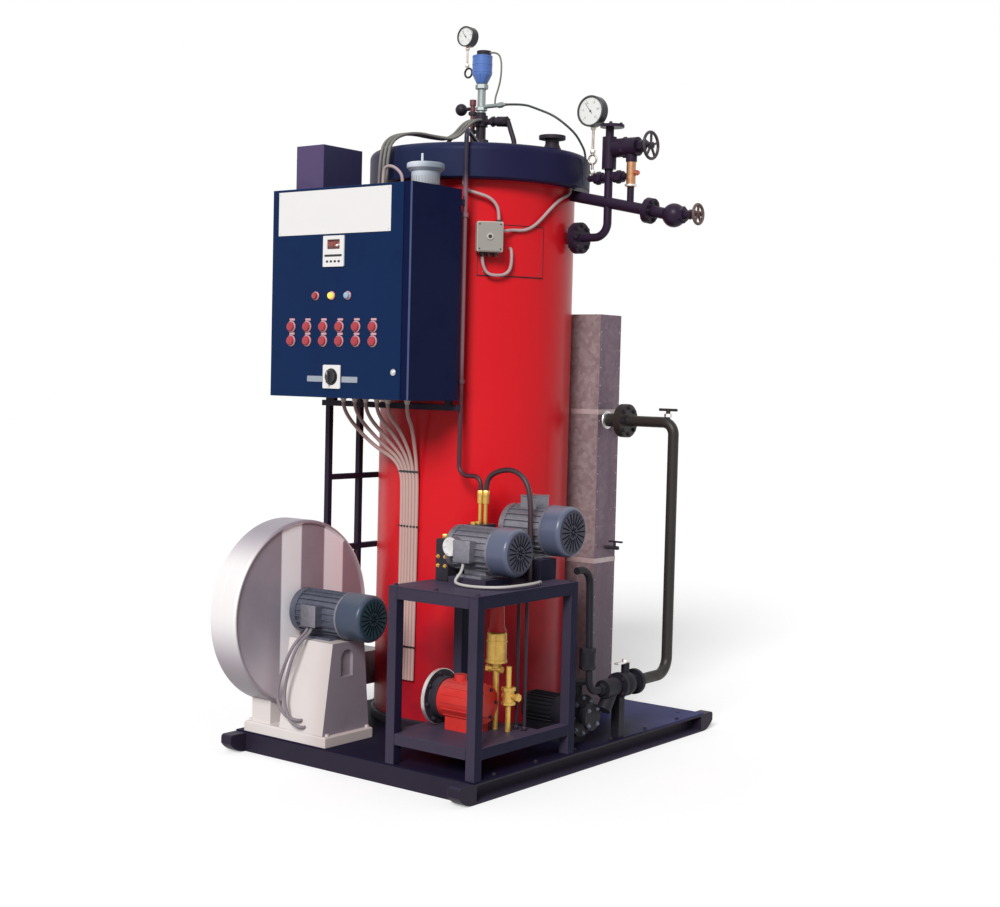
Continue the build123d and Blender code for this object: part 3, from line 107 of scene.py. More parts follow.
class Finish:
    """One procedural material, patterned in the object's own coordinates."""

    def __init__(self, name):
        self.name = name
        self.material = bpy.data.materials.new(name)
        self.material.use_nodes = True
        self.tree = self.material.node_tree
        self.tree.nodes.clear()

    def node(self, kind, settings=None, values=None, out=0):
        """Adds a node: its settings and ramp stops first, then the values or links of its sockets."""
        made = self.tree.nodes.new(kind)
        for key, value in (settings or {}).items():
            if key == "stops":
                ramp = made.color_ramp.elements
                while len(ramp) < len(value):
                    ramp.new(1.0)
                for element, (position, colour) in zip(ramp, value):
                    element.position = position
                    element.color = (*colour, 1.0) if len(colour) == 3 else (colour[0],) * 3 + (1.0,)
            else:
                setattr(made, key, value)
        for key, value in (values or {}).items():
            if isinstance(value, Value):
                self.tree.links.new(value.socket, made.inputs[key])
            elif (isinstance(value, (tuple, list, Vector)) and len(value) == 3
                  and made.inputs[key].type == "RGBA"):
                made.inputs[key].default_value = (*value, 1.0)
            else:
                made.inputs[key].default_value = value
        return Value(self, made.outputs[out])

    def place(self, stretch=(1.0, 1.0, 1.0), centre=(0.0, 0.0, 0.0)):
        """Place on the object, moved to a centre and stretched."""
        where = self.node("ShaderNodeTexCoord", out="Object")
        moved = self.node("ShaderNodeVectorMath", {"operation": "SUBTRACT"}, {0: where, 1: centre})
        return self.node("ShaderNodeVectorMath", {"operation": "MULTIPLY"}, {0: moved, 1: stretch})

    def axis(self, which, place=None):
        """One coordinate of a place: X, Y or Z."""
        return self.node("ShaderNodeSeparateXYZ", None, {0: place or self.place()}, out=which)

    def noise(self, scale, detail=3.0, stretch=(1.0, 1.0, 1.0), rough=0.5):
        return self.node("ShaderNodeTexNoise", None, {
            "Vector": self.place(stretch), "Scale": scale, "Detail": detail, "Roughness": rough})

    def band(self, value, low, high):
        """Soft step from 0 to 1 as a value goes from one limit to the other."""
        return self.node("ShaderNodeMapRange", {"interpolation_type": "SMOOTHSTEP"}, {
            "Value": value, "From Min": low, "From Max": high})

    def facing_up(self):
        """1 on faces that look up, 0 on walls."""
        normal = self.node("ShaderNodeNewGeometry", out="Normal")
        return self.band(self.axis("Z", normal), 0.55, 0.95)

    def mix(self, factor, first, second):
        """Blend of two colours."""
        return self.node("ShaderNodeMix", {"data_type": "RGBA"}, {"Factor": factor, 6: first, 7: second},
                         out=2)

    def bump(self, height, distance, strength=1.0, over=None):
        values = {"Height": height, "Distance": distance, "Strength": strength}
        if over is not None:
            values["Normal"] = over
        return self.node("ShaderNodeBump", None, values)

    def done(self, **sockets):
        """Closes the material with a Principled shader on the given sockets and keeps it by name."""
        named = {key.replace("_", " "): value for key, value in sockets.items()}
        self.node_out(self.node("ShaderNodeBsdfPrincipled", None, named))
        finishes[self.name] = self.material

    def node_out(self, shader):
        out = self.tree.nodes.new("ShaderNodeOutputMaterial")
        self.tree.links.new(shader.socket, out.inputs["Surface"])


# Kinds of finish

finishes = {}


def enamel(name, colour, roughness=0.35, mottle=0.18, dust=(0.30, 0.27, 0.26), dusty=0.12, gloss=0.35,
           coat=0.15, grime=0.25, peel=0.0004):
    """Sprayed paint: slow mottling, dust on top faces, grime in patches and a faint orange peel."""
    finish = Finish(name)
    slow = finish.noise(3.1, 4.0)
    patches = finish.band(finish.noise(7.3, 6.0, rough=0.65), 0.48, 0.72)
    dark = tuple(part * (1 - mottle) for part in colour)
    base = finish.mix(slow, dark, colour)
    base = finish.mix(patches * grime, base, tuple(part * 0.45 for part in colour))
    specks = finish.band(finish.noise(160.0, 2.0), 0.62, 0.75)
    base = finish.mix(finish.facing_up() * dusty + specks * 0.05, base, dust)
    rough = patches * 0.12 + roughness + finish.facing_up() * 0.1
    normal = finish.bump(finish.noise(240.0, 2.0), peel, 0.35)
    finish.done(Base_Color=base, Roughness=rough, Normal=normal, Specular_IOR_Level=gloss,
                Coat_Weight=coat, Coat_Roughness=0.12)


def worn_metal(name, bright, dull, roughness, metallic, stain):
    """Bare metal: fine even grain, with dull stains."""
    finish = Finish(name)
    grain = finish.noise(60.0, 4.0, rough=0.6)
    stains = finish.band(finish.noise(5.0, 6.0, rough=0.7), 0.45, 0.8)
    base = finish.mix(grain, dull, bright)
    base = finish.mix(stains * stain, base, tuple(part * 0.5 for part in dull))
    rough = grain * 0.18 + roughness + stains * 0.2
    normal = finish.bump(grain, 0.0004, 0.4)
    finish.done(Base_Color=base, Roughness=rough, Metallic=metallic, Normal=normal)


def moulded(name, colour, roughness=0.45, gloss=0.4, mottle=0.08):
    """Plastic or rubber: fine grain and slightly uneven colour."""
    finish = Finish(name)
    slow = finish.noise(11.0, 3.0)
    base = finish.mix(slow, tuple(part * (1 - mottle) for part in colour), colour)
    grain = finish.noise(420.0, 2.0)
    rough = grain * 0.12 + roughness
    finish.done(Base_Color=base, Roughness=rough, Normal=finish.bump(grain, 0.0002, 0.3),
                Specular_IOR_Level=gloss)


def jacket_enamel():
    """Glossy red enamel on rolled sheet: shallow waves round the shell, scuffs, and darker towards the
    foot.
    """
    finish = Finish("red_paint")
    height = finish.axis("Z")
    waves = finish.noise(1.6, 2.0, (1.0, 1.0, 0.25))
    base = finish.mix(waves, (0.56, 0.006, 0.012), (0.72, 0.012, 0.020))
    streaks = finish.band(finish.noise(14.0, 5.0, (1.0, 1.0, 0.06), 0.6), 0.55, 0.8)
    base = finish.mix(streaks * 0.22, base, (0.36, 0.010, 0.018))
    foot = finish.band(height, 1.05, 0.12)
    base = finish.mix(foot * finish.noise(9.0, 5.0) * 1.1, base, (0.13, 0.010, 0.024))
    scuffs = finish.band(finish.noise(55.0, 6.0, (1.0, 1.0, 0.3), 0.7), 0.70, 0.78)
    base = finish.mix(scuffs * 0.18, base, (0.85, 0.18, 0.16))
    rough = streaks * 0.12 + 0.30 + foot * 0.12
    normal = finish.bump(waves, 0.006, 0.5)
    normal = finish.bump(finish.noise(220.0, 2.0), 0.0003, 0.3, normal)
    finish.done(Base_Color=base, Roughness=rough, Normal=normal, Specular_IOR_Level=0.14,
                Coat_Weight=0.03, Coat_Roughness=0.08)


def spun_steel():
    """Spun steel sheet: rings round the drum's axis, with painted highlights in two upright bands across
    its face and on the rim, a painted reflection at the bottom and painted shade on the rim's lower part.
    """
    finish = Finish("drum_steel")
    low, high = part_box("blower_drum")
    middle = (low + high) / 2
    centre = (0.0, middle.y, middle.z)
    off_axis = finish.node("ShaderNodeVectorMath", {"operation": "LENGTH"},
                           {0: finish.place((0.0, 1.0, 1.0), centre)}, out="Value")
    rings = finish.node("ShaderNodeTexNoise", {"noise_dimensions": "1D"}, {
        "W": off_axis, "Scale": 240.0, "Detail": 3.0})
    blotches = finish.noise(4.5, 5.0, rough=0.6)
    base = finish.mix(blotches, (0.27, 0.235, 0.285), (0.40, 0.345, 0.40))
    across = finish.axis("Y", finish.place(centre=(0.0, middle.y, 0.0)))
    above = finish.axis("Z", finish.place(centre=(0.0, 0.0, middle.z)))
    # Painted reflection: the face gets lighter towards the bottom.
    reflected_bottom = finish.band(above, -0.08, -0.30)
    base = finish.mix(reflected_bottom * 0.6, base, (0.70, 0.62, 0.66))
    base = finish.mix(rings * 0.14, base, (0.62, 0.57, 0.60))
    rim = finish.band(off_axis, 0.379, 0.386)
    # Painted highlights: two upright bright bands across the face, made less metallic so their white shows.
    highlight_bands = 0.0
    for edge_low, edge_high, fade_low, fade_high in (
            (-0.130, -0.014, -0.34, -0.26), (0.124, 0.242, -0.06, 0.02)):
        highlight_stripe = (finish.band(across, edge_low, edge_low + 0.008)
                  * finish.band(across, edge_high + 0.008, edge_high))
        highlight_stripe = highlight_stripe * finish.band(above, fade_low, fade_high) * (1 - rim)
        base = finish.mix(highlight_stripe * 0.96, base, (1.0, 0.97, 1.0))
        highlight_bands = highlight_stripe + highlight_bands
    # Painted highlight on the rim's upper middle, then painted shade on its lower part.
    base = finish.mix(rim * finish.band(above, 0.37, 0.20) * finish.band(above, -0.24, 0.02), base,
                      (0.84, 0.80, 0.80))
    base = finish.mix(rim * finish.band(above, -0.10, -0.28) * 0.7, base, (0.22, 0.19, 0.21))
    rough = rings * 0.12 + 0.26 + blotches * 0.1
    normal = finish.bump(rings, 0.0004, 0.35)
    finish.done(Base_Color=base, Roughness=rough, Metallic=(1 - highlight_bands) * 0.22, Normal=normal,
                Specular_IOR_Level=0.25)


def dull_sheet(name, dark, pale):
    """Galvanised sheet gone dull: spangle, brown weathering that runs down in streaks, and darker towards
    the bottom.
    """
    finish = Finish(name)
    spangle = finish.node("ShaderNodeTexVoronoi", None, {"Vector": finish.place(), "Scale": 55.0},
                          out="Color")
    spangle = finish.node("ShaderNodeSeparateColor", None, {0: spangle}, out=0)
    runs = finish.band(finish.noise(9.0, 5.0, (1.0, 1.0, 0.12), 0.6), 0.35, 0.75)
    base = finish.mix(spangle, dark, pale)
    base = finish.mix(runs * 0.6, base, tuple(part * 0.7 for part in dark))
    base = finish.mix(finish.band(finish.axis("Z"), 1.1, 0.3) * 0.5, base, (0.11, 0.095, 0.11))
    rough = spangle * 0.15 + 0.42 + runs * 0.1
    finish.done(Base_Color=base, Roughness=rough, Metallic=0.15, Specular_IOR_Level=0.25,
                Normal=finish.bump(finish.noise(6.0, 3.0), 0.004, 0.4))


def shaded_paint(name, axis, first, shades, roughness=0.4, gloss=0.3, coat=0.0, wear=(0.3, 0.3, 0.35)):
    """Paint that changes shade at edges along an axis, with clouds and small worn spots."""
    finish = Finish(name)
    along = finish.axis(axis)
    base = first
    for edge, soft, colour in shades:
        base = finish.mix(finish.band(along, edge - soft, edge + soft), base, colour)
    clouds = finish.noise(4.7, 5.0, rough=0.6)
    base = finish.mix(clouds * 0.3, base, tuple(part * 0.6 for part in first))
    spots = finish.band(finish.noise(70.0, 5.0, rough=0.7), 0.68, 0.78)
    base = finish.mix(spots * 0.35, base, wear)
    rough = clouds * 0.15 + roughness + spots * 0.1
    finish.done(Base_Color=base, Roughness=rough,
                Normal=finish.bump(finish.noise(200.0, 2.0), 0.0004, 0.3),
                Specular_IOR_Level=gloss, Coat_Weight=coat, Coat_Roughness=0.15)


def glowing(name, colour, glow, strength):
    """Lamp lens or display: coloured plastic with a moulded grain and a weak light of its own."""
    finish = Finish(name)
    grain = finish.noise(260.0, 2.0)
    base = finish.mix(grain, tuple(part * 0.8 for part in colour), colour)
    finish.done(Base_Color=base, Roughness=grain * 0.1 + 0.12, Coat_Weight=0.4, Coat_Roughness=0.05,
                Normal=finish.bump(grain, 0.0002, 0.3), Emission_Color=(*glow, 1.0),
                Emission_Strength=strength)


# Finishes of this plant

alarm_low, alarm_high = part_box("alarm_horn")
alarm_x = (alarm_low.x + alarm_high.x) / 2

enamel("black_paint", (0.022, 0.016, 0.032), 0.42, dusty=0.20, dust=(0.10, 0.09, 0.15), gloss=0.12,
       coat=0.0)
# Painted reflection: the deck turns lighter and bluer towards the back.
shaded_paint("deck_paint", "Y", (0.012, 0.010, 0.028), ((0.40, 0.20, (0.056, 0.058, 0.165)),), 0.42, 0.02,
             wear=(0.16, 0.16, 0.26))
jacket_enamel()
enamel("navy_paint", (0.006, 0.022, 0.082), 0.36, gloss=0.06, coat=0.0, dusty=0.10, dust=(0.10, 0.11, 0.20))
# Painted highlight: lighter blue for the strip along the cabinet's front-right edge.
enamel("edge_highlight_paint", (0.075, 0.100, 0.200), 0.34, gloss=0.10, coat=0.0, dust=(0.10, 0.12, 0.22))
# Painted shade: the cabinet's navy is a darker copy of the door's, for its shaded sides.
enamel("cabinet_shaded_paint", (0.004, 0.008, 0.046), 0.40, gloss=0.05, coat=0.0, dusty=0.10,
       dust=(0.08, 0.09, 0.16))
enamel("roof_paint", (0.044, 0.042, 0.104), 0.38, gloss=0.10, coat=0.0, dusty=0.12, dust=(0.10, 0.10, 0.20))
# Painted light and shade: the head's paint is lighter towards -X and darker towards +X.
shaded_paint("head_paint", "X", (0.046, 0.036, 0.080),
             ((-0.30, 0.13, (0.013, 0.022, 0.066)), (0.14, 0.12, (0.010, 0.010, 0.046))), 0.38, 0.08,
             wear=(0.07, 0.07, 0.12))
# Painted light: a lighter copy of the roof box paint for its front face.
enamel("roof_lit_front", (0.098, 0.070, 0.160), 0.38, gloss=0.10, coat=0.0, dust=(0.16, 0.14, 0.26))
enamel("dark_steel", (0.026, 0.018, 0.028), 0.45, gloss=0.18, coat=0.0, grime=0.4, dust=(0.16, 0.12, 0.12))
enamel("pipe_plum", (0.026, 0.014, 0.034), 0.36, gloss=0.14, coat=0.0, grime=0.45, dust=(0.14, 0.10, 0.14))
shaded_paint("upright_pipe", "Z", (0.070, 0.016, 0.026),
             ((1.62, 0.10, (0.250, 0.130, 0.160)), (2.42, 0.05, (0.012, 0.012, 0.034))), 0.34, 0.30,
             wear=(0.40, 0.26, 0.30))
enamel("pipe_red", (0.165, 0.045, 0.045), 0.38, gloss=0.4, coat=0.05, grime=0.3, dust=(0.30, 0.20, 0.20))
enamel("pipe_olive", (0.028, 0.025, 0.023), 0.40, gloss=0.25, coat=0.0, grime=0.4, dust=(0.12, 0.13, 0.11))
enamel("casting_dark", (0.034, 0.028, 0.040), 0.5, mottle=0.3, gloss=0.15, coat=0.0, grime=0.5,
       dust=(0.20, 0.18, 0.20), peel=0.0012)
enamel("casting_black", (0.015, 0.014, 0.020), 0.5, mottle=0.3, gloss=0.15, coat=0.0, grime=0.5,
       dust=(0.12, 0.11, 0.12), peel=0.0012)
moulded("grey_box", (0.50, 0.49, 0.45), 0.5)
moulded("box_grey", (0.56, 0.52, 0.45), 0.5, gloss=0.2)
moulded("lid_grey", (0.33, 0.31, 0.28), 0.5, gloss=0.15)
# Painted light and shade: the alarm is pale on its left and turns dark past a line towards +X.
shaded_paint("alarm_lit_and_shaded", "X", (0.66, 0.70, 0.78), ((alarm_x + 0.040, 0.035, (0.20, 0.24, 0.29)),), 0.40,
             0.2, wear=(0.60, 0.64, 0.70))
moulded("white_plate", (0.80, 0.78, 0.77), 0.35, mottle=0.03)
moulded("strip_pale", (0.34, 0.38, 0.44), 0.4, mottle=0.2)
moulded("dial_white", (0.80, 0.80, 0.78), 0.4, mottle=0.02)
moulded("ink_black", (0.015, 0.015, 0.017), 0.5)
moulded("needle_grey", (0.10, 0.10, 0.11), 0.35)
moulded("button_red", (0.42, 0.040, 0.055), 0.18)
moulded("collar_red", (0.62, 0.30, 0.33), 0.20)
moulded("tab_rose", (0.66, 0.36, 0.38), 0.35)
glowing("lens_red", (0.35, 0.03, 0.03), (1.0, 0.05, 0.03), 0.05)
glowing("lens_yellow", (0.85, 0.55, 0.06), (1.0, 0.68, 0.10), 0.75)
glowing("lens_pale", (0.30, 0.45, 0.60), (0.45, 0.65, 0.9), 0.06)
glowing("display_red", (0.085, 0.016, 0.014), (0.6, 0.05, 0.03), 0.03)
glowing("display_figures", (0.42, 0.06, 0.04), (1.0, 0.15, 0.06), 0.12)
moulded("black_plastic", (0.02, 0.02, 0.022), 0.35)
moulded("knob_dark", (0.045, 0.042, 0.048), 0.3)
moulded("conduit_white", (0.66, 0.60, 0.54), 0.5)
enamel("conduit_beige", (0.58, 0.38, 0.35), 0.48, mottle=0.15, grime=0.15, coat=0.0, gloss=0.2,
       dust=(0.5, 0.45, 0.4))
moulded("cable_grey", (0.36, 0.33, 0.32), 0.5)
moulded("cable_olive", (0.22, 0.21, 0.19), 0.45, mottle=0.4, gloss=0.25)
moulded("cable_rose", (0.50, 0.38, 0.39), 0.45, mottle=0.3, gloss=0.25)
moulded("cable_pale", (0.55, 0.52, 0.50), 0.45, mottle=0.2, gloss=0.25)
moulded("cable_mauve", (0.26, 0.22, 0.25), 0.45, mottle=0.3, gloss=0.25)
spun_steel()
enamel("beige_paint", (0.70, 0.65, 0.61), 0.45, mottle=0.06, grime=0.12, dust=(0.6, 0.55, 0.5))
# Painted shade: this cream goes darker towards +X.
shaded_paint("plinth_cream", "X", (0.72, 0.66, 0.64), ((-0.21, 0.09, (0.58, 0.50, 0.48)),), 0.42,
             wear=(0.50, 0.42, 0.36))
# Painted shade: a darker copy of the cream pedestal paint for the side facing +X.
enamel("pedestal_shaded_side", (0.280, 0.235, 0.280), 0.40, mottle=0.15, grime=0.2, gloss=0.15, coat=0.0)
enamel("pedestal_hole", (0.34, 0.28, 0.32), 0.5, mottle=0.2, grime=0.4)
enamel("motor_paint", (0.12, 0.16, 0.22), 0.32, dusty=0.25, dust=(0.35, 0.35, 0.36))
worn_metal("motor_silver", (0.30, 0.29, 0.33), (0.15, 0.14, 0.17), 0.36, 0.5, stain=0.35)
worn_metal("motor_slate", (0.17, 0.18, 0.235), (0.08, 0.085, 0.12), 0.38, 0.5, stain=0.35)
enamel("motor_dark", (0.055, 0.072, 0.115), 0.34, dusty=0.2, dust=(0.25, 0.26, 0.30), gloss=0.25, coat=0.05)
enamel("motor_blue", (0.105, 0.120, 0.190), 0.30, dusty=0.25, dust=(0.40, 0.42, 0.48), gloss=0.3, coat=0.1)
moulded("slot_dark", (0.004, 0.004, 0.005), 0.7, gloss=0.02)
enamel("cowl_grey", (0.052, 0.054, 0.086), 0.36, gloss=0.15, coat=0.0, dust=(0.20, 0.20, 0.26))
enamel("cowl_end", (0.018, 0.044, 0.062), 0.36, gloss=0.15, coat=0.0, dust=(0.10, 0.14, 0.18))
# Painted shade: a darker copy of the frame paint for faces that look to +X.
enamel("frame_painted_shade", (0.014, 0.013, 0.036), 0.42, gloss=0.05, coat=0.0, dust=(0.05, 0.05, 0.10))
enamel("frame_paint", (0.044, 0.035, 0.062), 0.38, dusty=0.25, dust=(0.12, 0.10, 0.16), gloss=0.12,
       coat=0.0)
moulded("hose_black", (0.038, 0.016, 0.022), 0.40)
moulded("hose_olive", (0.036, 0.042, 0.036), 0.45)
worn_metal("fitting_grey", (0.42, 0.46, 0.45), (0.20, 0.23, 0.23), 0.35, 0.7, stain=0.3)
enamel("red_casting", (0.68, 0.036, 0.030), 0.34, mottle=0.3, grime=0.45, gloss=0.25, coat=0.05)
worn_metal("white_metal", (0.85, 0.83, 0.82), (0.60, 0.57, 0.56), 0.30, 0.8, stain=0.2)
worn_metal("brass", (0.86, 0.56, 0.13), (0.50, 0.28, 0.06), 0.24, 0.55, stain=0.5)
worn_metal("brass_red", (0.62, 0.34, 0.18), (0.34, 0.14, 0.06), 0.24, 0.6, stain=0.45)
worn_metal("copper_red", (0.72, 0.24, 0.14), (0.36, 0.08, 0.05), 0.30, 0.9, stain=0.4)
worn_metal("stem_pale", (0.62, 0.55, 0.50), (0.36, 0.28, 0.24), 0.28, 1.0, stain=0.4)
dull_sheet("galvanised", (0.250, 0.190, 0.200), (0.350, 0.285, 0.290))
# Painted shade: a darker copy of the sheet for faces that look to +X.
dull_sheet("sheet_shaded_side", (0.160, 0.105, 0.145), (0.235, 0.165, 0.205))
worn_metal("sheet_edge", (0.62, 0.52, 0.52), (0.40, 0.32, 0.33), 0.45, 0.3, stain=0.4)
enamel("wheel_brown", (0.14, 0.085, 0.075), 0.5, grime=0.5, coat=0.0)
enamel("wheel_dark", (0.040, 0.030, 0.040), 0.42, grime=0.5, coat=0.0)
enamel("gauge_case", (0.026, 0.024, 0.030), 0.3, gloss=0.25, coat=0.05)
enamel("rim_dark", (0.045, 0.042, 0.050), 0.25, gloss=0.5, coat=0.2)
enamel("blue_enamel", (0.095, 0.195, 0.54), 0.36, mottle=0.12, grime=0.2, dust=(0.4, 0.42, 0.5))
worn_metal("bare_steel", (0.72, 0.70, 0.69), (0.50, 0.48, 0.48), 0.28, 1.0, stain=0.2)

# Pieces


def softened(shape, angle=32.0):
    """Smooth faces with the hard edges kept hard."""
    limit = math.radians(angle)
    for face in shape.faces:
        face.smooth = True
    for edge in shape.edges:
        edge.smooth = len(edge.link_faces) == 2 and edge.calc_face_angle(0.0) < limit


def piece(name, shape, finish, body="root", replaces=(), bevel=0.0, angle=32.0):
    """Makes a finished piece of a shape, which rides on a body."""
    softened(shape, angle)
    mesh = bpy.data.meshes.new(name)
    shape.to_mesh(mesh)
    shape.free()
    made = bpy.data.objects.new(name, mesh)
    bpy.context.scene.collection.objects.link(made)
    mesh.materials.append(finishes[finish])
    if bevel:
        rounding = made.modifiers.new("rounding", "BEVEL")
        rounding.width = bevel
        rounding.segments = 2
        rounding.limit_method = "ANGLE"
        rounding.angle_limit = math.radians(angle)
        weighting = made.modifiers.new("weighting", "WEIGHTED_NORMAL")
        weighting.keep_sharp = False
        for edge in mesh.edges:
            edge.use_edge_sharp = False
    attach(made, body)
    if replaces:
        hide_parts(*replaces)
    return made


slot_of = {part["node"]: part["material_slot"] for part in frame["record"]["subparts"]}
body_of = {node: body for body, nodes in frame["record"]["behaviour"]["bodies"].items() for node in nodes}


def dressed(node, finish=None, bevel=0.0015, tints=()):
    """A CAD node's own shape, corners merged and edges rounded; tints give some faces another finish."""
    shape = bmesh.new()
    shape.from_mesh(frame["nodes"][node].data)
    bmesh.ops.remove_doubles(shape, verts=shape.verts, dist=2e-5)
    bmesh.ops.dissolve_limit(shape, angle_limit=math.radians(0.8), verts=shape.verts, edges=shape.edges)
    for index, (tint, chosen) in enumerate(tints, 1):
        for face in shape.faces:
            if chosen(face.calc_center_median(), face.normal):
                face.material_index = index
    made = piece(node + "_dressed", shape, finish or slot_of[node], body_of[node], (node,),
                 bevel)
    for tint, chosen in tints:
        made.data.materials.append(finishes[tint])
    return made


def floor():
    """Plain pale floor that shows white to the camera and keeps the shadow."""
    shape = bmesh.new()
    bmesh.ops.create_grid(shape, x_segments=1, y_segments=1, size=30.0)
    mesh = bpy.data.meshes.new("floor")
    shape.to_mesh(mesh)
    shape.free()
    made = bpy.data.objects.new("floor", mesh)
    bpy.context.scene.collection.objects.link(made)
    finish = Finish("floor_paper")
    fine = finish.noise(40.0, 2.0)
    seen = finish.node("ShaderNodeLightPath", out="Is Camera Ray") + finish.node("ShaderNodeLightPath",
                                                                                out="Is Glossy Ray")
    pale = finish.mix(fine, (0.80, 0.80, 0.80), (0.82, 0.82, 0.82))
    matt = finish.node("ShaderNodeBsdfDiffuse", None, {"Color": (0.45, 0.45, 0.45)})
    paper = finish.node("ShaderNodeBsdfDiffuse", None, {"Color": pale})
    glow = finish.node("ShaderNodeEmission", None, {"Color": (1.0, 1.0, 1.0), "Strength": 0.34})
    white = finish.node("ShaderNodeAddShader", None, {0: paper, 1: glow})
    finish.node_out(finish.node("ShaderNodeMixShader", None, {0: seen, 1: matt, 2: white}))
    mesh.materials.append(finish.material)


def light():
    """Surroundings white to the camera and a weak fill otherwise, with a soft sun from the front left."""
    world = bpy.data.worlds.new("studio")
    bpy.context.scene.world = world
    world.use_nodes = True
    tree = world.node_tree
    tree.nodes.clear()
    out = tree.nodes.new("ShaderNodeOutputWorld")
    mixed = tree.nodes.new("ShaderNodeMixShader")
    paths = tree.nodes.new("ShaderNodeLightPath")
    seen = tree.nodes.new("ShaderNodeMath")
    seen.use_clamp = True
    through = tree.nodes.new("ShaderNodeMath")
    through.use_clamp = True
    soft = tree.nodes.new("ShaderNodeBackground")
    soft.inputs["Strength"].default_value = 0.36
    white = tree.nodes.new("ShaderNodeBackground")
    white.inputs["Strength"].default_value = 1.0
    for background in (soft, white):
        background.inputs["Color"].default_value = (1.0, 1.0, 1.0, 1.0)
    tree.links.new(paths.outputs["Is Camera Ray"], seen.inputs[0])
    tree.links.new(paths.outputs["Is Glossy Ray"], seen.inputs[1])
    tree.links.new(seen.outputs[0], through.inputs[0])
    tree.links.new(paths.outputs["Is Transmission Ray"], through.inputs[1])
    tree.links.new(through.outputs[0], mixed.inputs[0])
    tree.links.new(soft.outputs[0], mixed.inputs[1])
    tree.links.new(white.outputs[0], mixed.inputs[2])
    tree.links.new(mixed.outputs[0], out.inputs["Surface"])
    sun = bpy.data.lights.new("key", "SUN")
    sun.energy = 3.0
    sun.angle = math.radians(22)
    made = bpy.data.objects.new("key", sun)
    bpy.context.scene.collection.objects.link(made)
    made.rotation_mode = "QUATERNION"
    made.rotation_quaternion = Vector((-0.32, 0.79, -0.53)).to_track_quat("-Z", "Y")


# Shapes


def facing(at, out, turn=0.0):
    """Matrix that puts a shape at a point, its Z along out and its Y as near upright as it goes."""
    out = Vector(out).normalized()
    guide = Vector(UP) if abs(out.z) < 0.9 else Vector(BACK)
    across = guide.cross(out).normalized()
    upward = out.cross(across)
    turned_frame = Matrix((across, upward, out)).transposed().to_4x4()
    return Matrix.Translation(at) @ turned_frame @ Matrix.Rotation(turn, 4, "Z")


def turned(profile, at=(0, 0, 0), out=UP, segments=48):
    """Shape turned round an axis from (radius, along) points."""
    shape = bmesh.new()
    rings = []
    for radius, along in profile:
        count = segments if radius > 1e-6 else 1
        angles = [2 * math.pi * (step + 0.5) / segments for step in range(count)]
        rings.append([shape.verts.new((radius * math.cos(angle), radius * math.sin(angle), along))
                      for angle in angles])
    for first, second in zip(rings, rings[1:]):
        for step in range(segments):
            corners = (first[step % len(first)], first[(step + 1) % len(first)],
                       second[(step + 1) % len(second)], second[step % len(second)])
            corners = list(dict.fromkeys(corners))
            if len(corners) > 2:
                shape.faces.new(corners)
    bmesh.ops.remove_doubles(shape, verts=shape.verts, dist=1e-6)
    bmesh.ops.recalc_face_normals(shape, faces=shape.faces)
    shape.transform(facing(at, out))
    return shape


def puck(radius, height, edge=0.001, at=(0, 0, 0), out=UP, segments=48):
    """Short round bar with its front edge broken."""
    return turned([(0, 0), (radius, 0), (radius, height - edge), (radius - edge, height), (0, height)],
                  at, out, segments)


def hoop(inner, outer, low, high, slope, at=(0, 0, 0), out=UP, segments=48):
    """Closed band round an axis, its outer edges sloped."""
    return turned([(inner, low), (outer, low + slope), (outer, high - slope), (inner, high), (inner, low)],
                  at, out, segments)


def rounded(width, height, corner, steps=5):
    """Outline of a rectangle with round corners about the origin."""
    points = []
    for quarter, (side, level) in enumerate(((1, 1), (-1, 1), (-1, -1), (1, -1))):
        centre = (side * (width / 2 - corner), level * (height / 2 - corner))
        for step in range(steps + 1):
            angle = math.pi / 2 * (quarter + step / steps)
            points.append((centre[0] + corner * math.cos(angle), centre[1] + corner * math.sin(angle)))
    return points


def cut_out(outline, depth, at=(0, 0, 0), out=FRONT, turn=0.0):
    """Flat plate of an outline, which stands out from a point by its depth."""
    shape = bmesh.new()
    back = [shape.verts.new((across, up, 0)) for across, up in outline]
    front = [shape.verts.new((across, up, depth)) for across, up in outline]
    shape.faces.new(front)
    shape.faces.new(back[::-1])
    for step in range(len(outline)):
        following = (step + 1) % len(outline)
        shape.faces.new((back[step], back[following], front[following], front[step]))
    shape.transform(facing(at, out, turn))
    return shape


def slab(low, high, rounding=0.0):
    """Box between two corners with rounded edges."""
    low, high = Vector(low), Vector(high)
    shape = bmesh.new()
    bmesh.ops.create_cube(shape, size=1.0)
    shape.transform(Matrix.Translation((low + high) / 2) @ Matrix.Diagonal((*(high - low), 1.0)))
    if rounding:
        bmesh.ops.bevel(shape, geom=shape.edges[:], offset=rounding, segments=2, profile=0.5,
                        affect="EDGES")
    return shape


def joined(*shapes):
    """One shape of several, which are used up."""
    whole = bmesh.new()
    for shape in shapes:
        mesh = bpy.data.meshes.new("joining")
        shape.to_mesh(mesh)
        shape.free()
        whole.from_mesh(mesh)
        bpy.data.meshes.remove(mesh)
    return whole


def lettering(text, size, at, out, depth=0.0003):
    """Raised figures from Blender's own font."""
    curve = bpy.data.curves.new("lettering", "FONT")
    curve.body = text
    curve.size = size
    curve.extrude = depth
    curve.align_x = "CENTER"
    curve.align_y = "CENTER"
    curve.resolution_u = 3
    shape = evaluated_shape(bpy.data.objects.new("lettering", curve))
    shape.transform(facing(at, out))
    return shape


def evaluated_shape(made):
    """Shape of an object as Blender evaluates it; the object is then removed."""
    bpy.context.scene.collection.objects.link(made)
    bpy.context.view_layer.update()
    mesh = bpy.data.meshes.new_from_object(made.evaluated_get(bpy.context.evaluated_depsgraph_get()))
    shape = bmesh.new()
    shape.from_mesh(mesh)
    bpy.data.meshes.remove(mesh)
    bpy.data.objects.remove(made)
    return shape


# Geometry Nodes for what repeats


